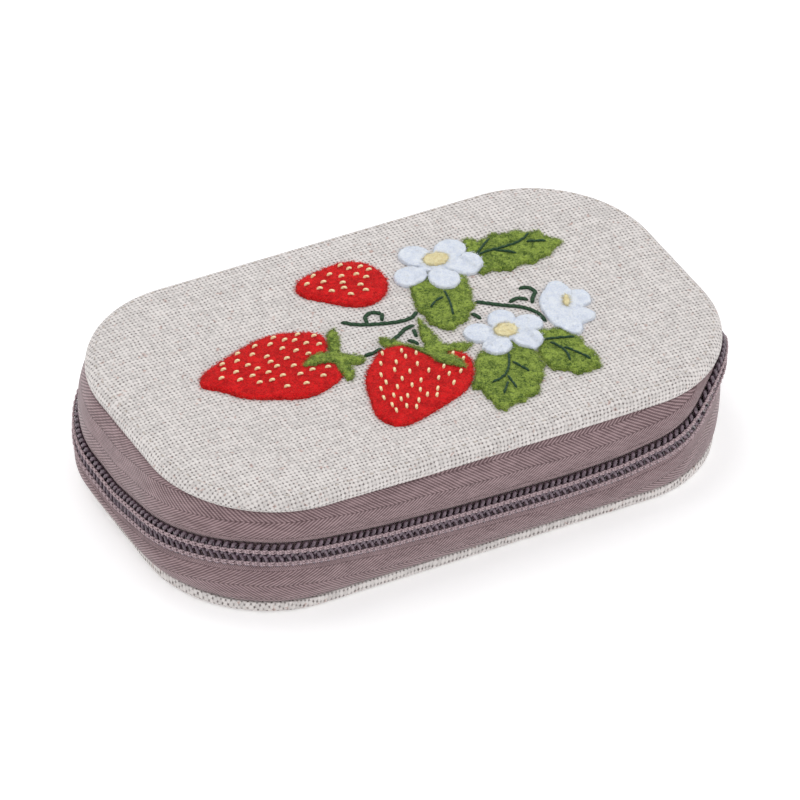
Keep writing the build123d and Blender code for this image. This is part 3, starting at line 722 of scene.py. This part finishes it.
def make_coil(name, side, node, body):
    """One nylon coil, whose loops hook between the other's."""
    count = int((TAPE_END - CHAIN_START - 1.5) / COIL_PITCH * COIL_STEPS)
    angle = np.arange(count) / COIL_STEPS * 2 * math.pi
    start = CHAIN_START + 0.6 + (COIL_PITCH / 2 if side > 0 else 0)
    distance = start + COIL_PITCH * angle / (2 * math.pi) - COIL_SLANT * np.cos(angle)
    middle, along, outwards, upwards = chain_frame(distance)
    lift = side * (COIL_MIDDLE + COIL_REACH * np.cos(angle))
    depth = COIL_DEPTH * np.sin(angle)
    path = middle + lift[:, None] * upwards + depth[:, None] * outwards
    outer = 0.5 + 0.5 * np.cos(angle)
    radii = WIRE * (0.95 + 0.1 * outer)
    piece = join_tubes(name, [tube(path, radii, along, 8, 1.0 + 0.15 * outer)])
    dress(piece, "zip_coil", body)
    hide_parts(node)


def make_chain_stitches(name, side, body):
    """The row of chain stitches that holds a coil to its tape."""
    tubes = []
    for distance in np.arange(CHAIN_START + 1.0, TAPE_END - 2.0, COIL_PITCH):
        middle, _, outwards, upwards = chain_frame(distance + np.linspace(0, 1.08 * COIL_PITCH, 5))
        for sign in (-1, 1):
            lift = side * SEAM + sign * np.linspace(0.42, 0.12, 5)
            proud = SEAM_OUT + 0.22 * np.sin(np.linspace(0, math.pi, 5))
            path = middle + lift[:, None] * upwards + proud[:, None] * outwards
            tubes.append(tube(path, SEAM_RADII, outwards, 6))
    dress(join_tubes(name, tubes), "chain_thread", body, "zip_tape")


def make_zip():
    """Both tapes, both coils and their stitching."""
    sides = (
        ("upper", 1, "lid", lambda distance: lid_edge(distance) - 0.05),
        ("lower", -1, "base", lambda distance: BASE_RIM + 0.05 + 0 * distance),
    )
    for word, side, body, root_level in sides:
        make_tape(f"zip_tape_{word}", side, root_level, f"{word}_zip_tape", body)
    for word, side, body, _ in sides:
        make_coil(f"zip_coil_{word}", side, f"{word}_zip_coil", body)
    for word, side, body, _ in sides:
        make_chain_stitches(f"zip_stitches_{word}", side, body)


# ---- Spine ----------------------------------------------------------------------
SPINE_THICKNESS = 0.8


def make_spine():
    """The linen strip across the back, which the lid folds about."""
    reach = CENTRE_X + SPINE_TURN * CORNER
    distance = np.linspace(-reach, reach, 130)
    profile = [(out, LID_RIM - 0.05) for out in (-HEM, -3.0, -1.2)] + [(-0.3, LID_RIM - 0.15)]
    for share in np.linspace(0, 1, 34):
        out = 0.35 + 0.35 * math.sin(math.pi * share)
        profile.append((out, LID_RIM - 0.6 + (BASE_RIM - LID_RIM + 1.2) * share))
    profile += [(-0.3, BASE_RIM + 0.15)] + [(out, BASE_RIM + 0.05) for out in (-1.2, -3.0, -HEM)]
    level = np.ones(len(distance))
    rows = [np.column_stack([outline(distance, out), level * height]) for out, height in profile]
    uv = np.stack(np.meshgrid(distance, travelled(np.array(profile))), -1)
    piece = grid_object("spine_linen", np.array(rows), uv)
    thicken(piece, SPINE_THICKNESS)
    dress(piece, "linen", None)
    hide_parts("hinge_panel_lower", "hinge_panel_upper")
    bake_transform(piece)


# ---- Felt -----------------------------------------------------------------------
def cad_mesh(name):
    """A CAD node's mesh with its faces joined up."""
    mesh = bmesh.new()
    mesh.from_mesh(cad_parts[name].data)
    bmesh.ops.remove_doubles(mesh, verts=mesh.verts, dist=0.002 * MM)
    return mesh


def node_outline(name):
    """The outline of a flat CAD node's top, as points in order round it."""
    mesh = cad_mesh(name)
    top = {face for face in mesh.faces if face.normal.z > 0.9}
    follow = {}
    for face in top:
        for loop in face.loops:
            if loop.link_loop_radial_next.face not in top:
                follow[loop.vert] = loop.link_loop_next.vert
    first = min(follow, key=lambda vert: (round(vert.co.x, 6), round(vert.co.y, 6)))
    ordered = [first]
    while follow[ordered[-1]] is not first:
        ordered.append(follow[ordered[-1]])
    points = np.array([vert.co[:2] for vert in ordered]) / MM
    mesh.free()
    return points


def evenly(loop, spacing):
    """Points spaced evenly round a closed line."""
    closed = np.concatenate([loop, loop[:1]])
    travel = travelled(closed)
    places = np.linspace(0, travel[-1], max(12, int(travel[-1] / spacing)), endpoint=False)
    return np.stack([np.interp(places, travel, closed[:, axis]) for axis in (0, 1)], -1)


def depth_inside(points, loop):
    """How far points lie inside a closed line; negative outside it."""
    after = np.roll(loop, -1, axis=0)
    nearest = np.full(len(points), 1e9)
    crossings = np.zeros(len(points), int)
    for start, end in zip(loop, after):
        run = end - start
        share = np.clip(((points - start) @ run) / max(run @ run, 1e-12), 0, 1)
        nearest = np.minimum(nearest, np.linalg.norm(points - start - share[:, None] * run, axis=1))
        spans = (start[1] > points[:, 1]) != (end[1] > points[:, 1])
        slope = run[0] / run[1] if abs(run[1]) > 1e-12 else 0.0
        crossings += spans & (points[:, 0] < start[0] + (points[:, 1] - start[1]) * slope)
    return np.where(crossings % 2 == 1, nearest, -nearest)


# How each felt is cut: how far its edge rounds, how ragged it is, and its loose fibres.
FELT_CUTS = {
    "felt_red": {"shoulder": 0.9, "ragged": 1.0, "fibres": 1.0},
    "felt_green": {"shoulder": 0.9, "ragged": 1.9, "fibres": 1.4},
    "felt_white": {"shoulder": 0.5, "ragged": 0.5, "fibres": 0.3},
}
CREASE_WIDTH = 0.34
CREASE_DEPTH = 0.42  # as a share of the felt's thickness
EDGE_FIBRES = 7  # to a millimetre of edge
FACE_FIBRES = 3.5  # to a square millimetre
FIBRE_RADII = (0.055, 0.042, 0.014)


class Felt:
    """A felt patch laid on the lid, and on any patches already under it."""

    def __init__(self, node, finish, under=(), crown=0.0, thickness=FELT, body="lid", spacing=0.45):
        self.node = node
        self.under = under
        self.crown = crown
        self.thickness = thickness
        self.finish = finish
        self.body = body
        self.loop = evenly(node_outline(node), spacing)
        self.spacing = spacing
        self.cut = FELT_CUTS.get(finish, FELT_CUTS["felt_red"])
        self.creases = self.find_creases() if finish == "felt_white" else None

    def support(self, points):
        """The height of what the patch lies on."""
        height = lid_height(*points.T)
        for patch in self.under:
            depth = depth_inside(points, patch.loop)
            height = np.maximum(height, patch.top(points, ramped(depth, -1.3, 0.5)))
        return height

    def top(self, points, share=1.0):
        """The height of the patch's upper face, or a share of the way up to it."""
        depth = np.clip(depth_inside(points, self.loop), 0, None)
        base = self.support(points)
        return base + share * self.rise(points, depth)

    def find_creases(self):
        """The valleys between petals: a middle, and a direction and length for each notch."""
        middle = self.loop.mean(0)
        away = self.loop - middle
        reach = np.linalg.norm(away, axis=1)
        window = max(2, len(reach) // 14)
        creases = []
        for index, distance in enumerate(reach):
            near = reach[np.arange(index - window, index + window + 1) % len(reach)]
            if distance == near.min() and near.max() > distance + 0.35:
                creases.append((away[index] / distance, distance))
        return middle, creases

    def crease(self, points):
        """How deep the valleys between petals are."""
        middle, creases = self.creases
        depth = np.zeros(len(points))
        for way, length in creases:
            along = (points - middle) @ way
            beside = np.abs((points - middle) @ left_of(way))
            groove = np.exp(-((beside / CREASE_WIDTH) ** 2))
            groove = groove * ramped(along, 0.45 * length, 0.85 * length)
            depth = np.maximum(depth, groove)
        return depth

    def rise(self, points, depth):
        """How thick the patch is at a depth inside its edge."""
        shoulder = 1 - np.clip(depth / self.cut["shoulder"], 0, 1)
        rounded = 0.30 + 0.70 * np.sqrt(1 - shoulder * shoulder)
        x, y = points.T
        bumps = np.sin(x * 2.1 + 0.7 * y) * np.sin(y * 1.7 - 0.9 * x)
        mound = self.crown * (1 - np.exp(-depth / 3.0))
        body = self.thickness * rounded + mound + 0.05 * bumps * np.clip(depth, 0, 1)
        if self.creases:
            body = body * (1 - CREASE_DEPTH * self.crease(points))
        return body

    def make(self):
        """The patch's mesh: an upper face, a lower face and the wall between."""
        loop = self.loop
        inward = left_of(headings(loop))
        index = np.arange(len(loop))
        shaggy = 0.09 * np.sin(index * 2.3) + 0.07 * np.sin(index * 5.1 + 1.0)
        shaggy = shaggy + 0.06 * np.sin(index * 0.83)
        edge = loop + inward * shaggy[:, None] * self.cut["ragged"]
        inner = [edge]
        for inset in (0.12, 0.32, 0.62):
            ring = edge + inward * inset
            inner.append(ring[depth_inside(ring, edge) > 0.85 * inset])
        low, high = edge.min(0), edge.max(0)
        spans = [np.arange(low[axis], high[axis], 0.6) for axis in (0, 1)]
        net = np.stack(np.meshgrid(*spans), -1).reshape(-1, 2)
        inner.append(net[depth_inside(net, edge) > 0.9])
        if self.creases:
            middle, creases = self.creases
            for way, length in creases:
                for aside in (-0.5, -0.25, 0.0, 0.25, 0.5):
                    run = np.arange(0.3, 0.98, 0.3 / length)[:, None] * length * way
                    line = middle + run + aside * left_of(way)
                    inner.append(line[depth_inside(line, edge) > 0.15])
        points = np.concatenate(inner)
        ring = [(i, (i + 1) % len(edge)) for i in range(len(edge))]
        places = [Vector(point) for point in points.tolist()]
        flat, _, faces, *_ = delaunay_2d_cdt(places, ring, [], 1, 1e-4)
        flat = np.array([p[:] for p in flat])
        depth = np.clip(depth_inside(flat, edge), 0, None)
        support = self.support(flat)
        upper = np.column_stack([flat, support + self.rise(flat, depth)])
        lower = np.column_stack([flat, support - 0.08])
        count = len(flat)
        sides = {side: None for face in faces for side in zip(face, [*face[1:], face[0]])}
        rim = [(a, b) for a, b in sides if (b, a) not in sides]
        solid = [tuple(face) for face in faces]
        solid += [tuple(i + count for i in reversed(face)) for face in faces]
        solid += [(b, a, a + count, b + count) for a, b in rim]
        piece = mesh_object(self.node + "_felt", np.concatenate([upper, lower]), solid)
        dress(piece, self.finish, self.body)
        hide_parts(self.node)
        return piece

    def nap(self, seed):
        """Loose fibres that stand out from the patch's edge and lie over its face."""
        chance = np.random.default_rng(seed)
        loop = self.loop
        outward = -left_of(headings(loop))
        count = int(len(loop) * self.spacing * EDGE_FIBRES * self.cut["fibres"])
        picks = chance.integers(0, len(loop), count)
        edge_start = loop[picks] - outward[picks] * chance.uniform(0.0, 0.35, (len(picks), 1))
        low, high = loop.min(0), loop.max(0)
        count = int(np.prod(high - low) * FACE_FIBRES * self.cut["fibres"])
        spread = chance.uniform(low, high, (count, 2))
        spread = spread[depth_inside(spread, loop) > 0.4]
        start = np.concatenate([edge_start, spread])
        turn = chance.uniform(0, 2 * math.pi, len(start))
        heading = np.stack([np.cos(turn), np.sin(turn)], -1)
        heading[: len(picks)] = unit(outward[picks] + 0.9 * heading[: len(picks)])
        length = chance.uniform(0.45, 1.15, len(start))
        bend = chance.uniform(-0.5, 0.5, len(start))
        rise = chance.uniform(0.05, 0.35, len(start))
        level = self.top(start)
        tubes = []
        for place, way, run, curl, lift, height in zip(start, heading, length, bend, rise, level):
            side = left_of(way)
            path = []
            for share in (0.0, 0.5, 1.0):
                flat = place + way * run * share + side * curl * share * share * run
                droop = 0.25 * share if run > 0.9 else 0.0
                path.append((*flat, height - 0.05 + lift * share - droop))
            tubes.append(tube(path, FIBRE_RADII, UP, 3))
        piece = join_tubes(self.node + "_nap", tubes)
        # The nap finish is the felt's colour lightened: painted highlight on the loose fibres.
        dress(piece, self.finish.replace("felt", "nap"), self.body, self.finish)
        return piece

    def declare(self, piece, rests_on, pieces=()):
        after = np.roll(self.loop, -1, axis=0)


def make_felt():
    """The strawberries, leaves, calyxes and flowers, from the lid up."""
    patches = {}
    order = (
        ("leaf_upper_right", "felt_green", (), 0.1),
        ("leaf_middle", "felt_green", (), 0.1),
        ("leaf_lower", "felt_green", (), 0.1),
        ("leaf_right", "felt_green", (), 0.1),
        ("small_strawberry", "felt_red", (), 0.5),
        ("left_strawberry", "felt_red", (), 0.6),
        ("front_strawberry", "felt_red", (), 0.6),
        ("left_calyx", "felt_green", ("left_strawberry",), 0.0),
        ("front_calyx", "felt_green", ("front_strawberry",), 0.0),
        ("upper_flower", "felt_white", ("leaf_upper_right", "leaf_middle"), 0.15),
        ("lower_flower", "felt_white", ("leaf_lower", "leaf_right"), 0.15),
        ("side_flower", "felt_white", ("leaf_right",), 0.15),
        ("upper_flower_eye", "felt_yellow", ("upper_flower",), 0.0),
        ("lower_flower_eye", "felt_yellow", ("lower_flower",), 0.0),
        ("side_flower_eye", "felt_yellow", ("side_flower",), 0.0),
    )
    made = {}
    naps = {}
    for node, finish, under, crown in order:
        thickness = EYE if node.endswith("_eye") else FELT
        patches[node] = Felt(node, finish, [patches[name] for name in under], crown, thickness)
        made[node] = patches[node].make()
        naps[node] = patches[node].nap(len(made))
    # Each calyx and flower's eye is paired with the patch it is sewn on; declare does nothing with
    # the pair.
    sewn_on = {under[0]: node for node, _, under, _ in order if node.endswith(("_calyx", "_eye"))}
    for node, _, under, _ in order:
        if node not in sewn_on.values():
            above = sewn_on.get(node)
            pieces = [made[above], naps[above]] if above else []
            rests_on = [made[name] for name in under] or ["lid_linen"]
            patches[node].declare(made[node], rests_on, pieces + [naps[node]])
    return patches


# ---- Stitches -------------------------------------------------------------------
def loose_parts(node):
    """The middle and the half-length vector of each separate stitch in a CAD node."""
    mesh = cad_mesh(node)
    waiting = set(mesh.verts)
    found = []
    while waiting:
        stack = [waiting.pop()]
        part = []
        while stack:
            vert = stack.pop()
            part.append(vert.co[:2])
            for edge in vert.link_edges:
                other = edge.other_vert(vert)
                if other in waiting:
                    waiting.remove(other)
                    stack.append(other)
        points = np.array(part) / MM
        middle = (points.min(0) + points.max(0)) / 2
        spread = points - middle
        values, axes = np.linalg.eigh(spread.T @ spread)
        direction = axes[:, -1]
        found.append((middle, direction * np.abs(spread @ direction).max()))
    mesh.free()
    return sorted(found, key=lambda stitch: [round(float(value), 3) for value in stitch[0]])


def make_stitches(node, finish, surface, radius, longer, sink=0.35, strands=1):
    """Threads lying on a surface, one for each stitch of a CAD node, their ends drawn in."""
    shares = np.linspace(-1, 1, 7)
    tubes = []
    for middle, half in loose_parts(node):
        sideways = unit(left_of(half))
        for strand in range(strands):
            shift = (strand - (strands - 1) / 2) * radius * 1.1
            flat = middle + shares[:, None] * half * longer + sideways * shift
            arch = 1 - np.abs(shares) ** 3
            height = surface(flat) + radius * (arch * (1 + sink) - sink) * 0.9
            path = np.column_stack([flat, height])
            sizes = radius * np.sqrt(np.clip(1.06 - shares**4, 0.1, 1))
            tubes.append(tube(path, sizes, UP, 8))
    piece = join_tubes(node + "_thread", tubes)
    dress(piece, finish, "lid")
    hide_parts(node)


def make_embroidery(patches):
    """The seeds, the veins, the stems and the stitching round the lid."""
    def linen(points):
        return lid_height(*points.T)

    for berry in ("small_strawberry", "left_strawberry", "front_strawberry"):
        make_stitches(berry + "_seeds", "thread_cream", patches[berry].top, 0.36, 0.95)
    leaves = [patch for name, patch in patches.items() if name.startswith("leaf_")]

    def leaf_tops(points):
        height = linen(points)
        for leaf in leaves:
            height = np.where(depth_inside(points, leaf.loop) > 0, leaf.top(points), height)
        return height

    make_stitches("leaf_veins", "thread_green", leaf_tops, 0.31, 1.5, 0.1)
    make_stitches("stem_stitches", "thread_green", linen, 0.34, 1.6, 0.05, strands=2)
    make_stitches(
        "lid_topstitch", "thread_brown", lambda points: linen(points) - 0.1, 0.15, 0.8, 0.8
    )


# ---- Inside ---------------------------------------------------------------------
PAD_GAP = 0.04  # between a pad and what lies over or under it
LINING_INSET = 1.6
POCKET_INSET = 4.0
WADDING_INSET = 2.6
LOOPS_START = 12.0
LOOP_PITCH = 12.5
LOOP_SPAN = 10.0
ELASTIC = 0.7
EDGING = 0.24


def make_lining(body, height, flip):
    """A smooth panel lining, slightly quilted by the padding behind it."""
    sign = -1 if flip else 1

    def level(x, y):
        depth = inside(x, y) - LINING_INSET
        quilted = (0.12 * ripple(x, y) - 0.12) * ramped(depth, 0, 8)
        return height + sign * (quilted - 0.25 * ramped(2 - depth, 0, 2))

    rows, flat = panel_rows(LINING_INSET, level, 40)
    piece = ring_object(f"{body}_lining_cloth", rows, flat, flip)
    thicken(piece, LINING)
    dress(piece, "lining", body)
    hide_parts(f"{body}_lining")
    return piece


def make_pad(name, node, body, set_in=0.05, top=None):
    """A layer of wadding or padding, rounded at its edge. top gives its upper height."""
    low, high = box_of(node)
    bottom = low.z + PAD_GAP
    thickness = high.z - low.z - 2 * PAD_GAP
    inset = LENGTH / 2 - high.x + set_in
    bulge = thickness / 2
    rows, flat = panel_rows(inset + bulge, top or (lambda x, y: bottom + thickness + 0 * x), 24)
    middle = (rows[-1][:, 2] + bottom) / 2
    half = (rows[-1][:, 2] - bottom) / 2
    for angle in np.linspace(math.pi / 2, -math.pi / 2, 7)[1:]:
        level = middle + half * math.sin(angle)
        add_row(rows, flat, -inset - bulge + bulge * math.cos(angle), level, -inset)
    under, under_flat = panel_rows(inset + bulge, lambda x, y: bottom + 0 * x, 24)
    piece = ring_object(name, rows + under[::-1][1:], flat + under_flat[::-1][1:])
    dress(piece, "wadding", body)
    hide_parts(node)


def make_strip(name, node, lift, finish, thickness, crown):
    """A strip of cloth inside the lid, as long as the lid is at each place, facing down."""
    low, high = box_of(node)
    rows = []
    for y in np.linspace(low.y, high.y, max(6, int((high.y - low.y) / 1.5))):
        corner = max(0.0, abs(y) - CENTRE_Y)
        reach = CENTRE_X + math.sqrt(max(0.0, (CORNER - POCKET_INSET) ** 2 - corner**2))
        x = np.linspace(-1, 1, 120) * reach
        swell = crown * math.sin(math.pi * (y - low.y) / (high.y - low.y))
        height = low.z + lift - swell + 0.08 * ripple(x, 0 * x + y)
        rows.append(np.column_stack([x, np.full(len(x), y), height]))
    points = np.array(rows)
    piece = grid_object(name, points, points[:, :, :2])
    thicken(piece, thickness)
    dress(piece, finish, "lid")
    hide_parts(node)
    return piece


def make_loops():
    """The band of elastic sewn down between four raised loops."""
    low, high = box_of("elastic_loops")
    flat_level = low.z + 0.9
    places = np.linspace(low.x + 0.2, high.x - 0.2, 220)
    phase = np.mod(places - LOOPS_START, LOOP_PITCH)
    last = LOOPS_START + 3 * LOOP_PITCH + LOOP_SPAN
    in_loop = (places >= LOOPS_START) & (places <= last) & (phase <= LOOP_SPAN)
    share = np.clip(phase / LOOP_SPAN, 0, 1)
    lift = np.where(in_loop, np.clip(1 - np.abs(2 * share - 1) ** 6, 0, 1) ** 0.6, 0.0)
    line = np.column_stack([places, flat_level + (high.z - flat_level) * lift])
    travel = travelled(line)
    evened = np.linspace(0, travel[-1], 300)
    line = np.column_stack([np.interp(evened, travel, line[:, axis]) for axis in (0, 1)])
    travel = travelled(line)
    across = np.linspace(low.y + 0.1, high.y - 0.1, 9)
    x, z = line.T
    points = np.array([np.column_stack([x, np.full(len(x), y), z]) for y in across])
    uv = np.stack(np.meshgrid(travel, across), -1)
    piece = grid_object("elastic_band", points, uv)
    thicken(piece, ELASTIC)
    dress(piece, "elastic", "base")
    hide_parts("elastic_loops")


def make_edging(page):
    """Blanket stitch round the needle page: a thread along its edge and a leg at each step."""
    path = evenly(page.loop, 0.5)
    level = page.top(path) - 0.1
    closed = np.column_stack([path, level + 0.12 * np.sin(np.arange(len(path)) * 0.8)])
    tubes = [tube(np.concatenate([closed, closed[:2]]), EDGING, UP, 6)]
    corners = evenly(page.loop, 4.0)
    for place, way in zip(corners, headings(corners)):
        reach = place + np.linspace(0, 3.0, 6)[:, None] * left_of(way)
        height = page.top(reach) + np.array([0.0, 0.16, 0.18, 0.16, 0.08, -0.2])
        tubes.append(tube(np.column_stack([reach, height]), EDGING, UP, 6))
    piece = join_tubes("needle_page_edging", tubes)
    dress(piece, "thread_green", "base")
    return piece


def wadding_top(x, y):
    """The upper height of the wadding, just under the lid's linen."""
    return lid_height(x, y) - (LINEN + 2 * PAD_GAP)


def make_inside():
    """The linings, the pads, the pocket, the needle page and the elastic loops."""
    base = make_lining("base", LINING_TOP, False)
    lid = make_lining("lid", LID_LINING, True)
    make_pad("base_padding_pad", "base_padding", "base")
    make_pad("lid_padding_pad", "lid_padding", "lid")
    make_pad("lid_wadding_pad", "lid_wadding", "lid", WADDING_INSET, wadding_top)
    pocket = make_strip("lid_pocket_cloth", "lid_pocket", 0.0, "lining", LINING, 0.0)
    binding = make_strip("pocket_binding_cloth", "pocket_binding", 0.15, "linen", 0.45, 0.15)
    page = Felt("needle_page", "felt_cream", body="base", thickness=1.4, spacing=0.8)
    page.support = lambda points: np.full(len(points), LINING_TOP - 0.02)
    made = page.make()
    page.declare(made, [base], [make_edging(page), page.nap(40)])
    make_loops()


# ---- Hardware -------------------------------------------------------------------
def bevelled(name, node, width, finish, body):
    """A copy of a moulded node with its edges eased."""
    piece = linked(name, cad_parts[node].data.copy())
    weld(piece, turn_out=True)
    bevel = piece.modifiers.new("eased", "BEVEL")
    bevel.width = width * MM
    bevel.segments = 3
    bevel.angle_limit = math.radians(40)
    apply_modifiers(piece)
    piece.data.shade_smooth()
    dress(piece, finish, body)
    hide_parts(node)


def make_hardware():
    """The slider, its pull tab, and finishes for the nodes that are kept."""
    bevelled("slider_cast", "slider_body", 0.25, "slider_metal", "slider")
    bevelled("pull_tab_cast", "pull_tab", 0.2, "slider_metal", "pull")
    kept = {
        "base_board": "board",
        "lid_board": "board",
        "lower_top_stop": "zip_coil",
        "upper_top_stop": "zip_coil",
    }
    for node, finish in kept.items():
        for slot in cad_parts[node].material_slots:
            slot.material = FINISH[finish]


# ---- Studio ---------------------------------------------------------------------
def make_studio():
    """A white table, soft light from all round, and a broad light above."""
    bpy.ops.mesh.primitive_plane_add(size=6.0, location=(0, 0, -0.0003))
    floor = bpy.context.object
    floor.name = "table"
    paper = Shader("table_paper", 1.0, specular=0.0)
    grain = paper.noise(paper.solid(), 0.05, 2)
    share = paper.between(grain, 0.3, 0.7)
    pale = paper.mix(share, (0.95, 0.95, 0.95, 1.0), (0.96, 0.96, 0.96, 1.0))
    paper.surface.inputs["Emission Color"].default_value = (1.0, 1.0, 1.0, 1.0)
    paper.surface.inputs["Emission Strength"].default_value = 0.25
    floor.data.materials.append(paper.finish(pale, grain, 0.01, 0.1))
    world = bpy.data.worlds.new("studio")
    world.use_nodes = True
    sky = world.node_tree.nodes["Background"]
    sky.inputs["Color"].default_value = (0.985, 0.99, 1.0, 1.0)
    sky.inputs["Strength"].default_value = 0.80
    bpy.context.scene.world = world
    for name, place, size, power in (
        ("key", (-0.25, 0.35, 1.0), 0.9, 3.2),
        ("front", (0.7, -0.5, 0.7), 0.8, 1.6),
    ):
        light = bpy.data.lights.new(name, "AREA")
        light.size = size
        light.energy = power
        holder = linked(name, light)
        holder.location = place
        holder.rotation_euler = (-Vector(place)).to_track_quat("-Z", "Y").to_euler()
    bpy.context.scene.view_settings.view_transform = "Standard"


def make_camera():
    """A long lens above the front left corner, with the case a little below the middle."""
    turn, tilt, roll = (math.radians(angle) for angle in (-31.19, 38.12, 3.48))
    reach = math.cos(tilt)
    away = Vector((math.sin(turn) * reach, -math.cos(turn) * reach, math.sin(tilt)))
    level = Vector((math.cos(turn), math.sin(turn), 0))
    upright = away.cross(level)
    right = level * math.cos(roll) + upright * math.sin(roll)
    up = upright * math.cos(roll) - level * math.sin(roll)
    place = (away * 1794.0 + right * 0.16 + up * 11.87) * MM
    lens = bpy.data.cameras.new("camera")
    lens.lens = 323.4
    lens.clip_start = 0.05
    camera = linked("camera", lens)
    facing = Matrix((right, up, away)).transposed().to_4x4()
    camera.matrix_world = Matrix.Translation(place) @ facing
    bpy.context.scene.camera = camera


make_camera()
make_studio()
make_covers()
make_zip()
make_spine()
make_embroidery(make_felt())
make_inside()
make_hardware()
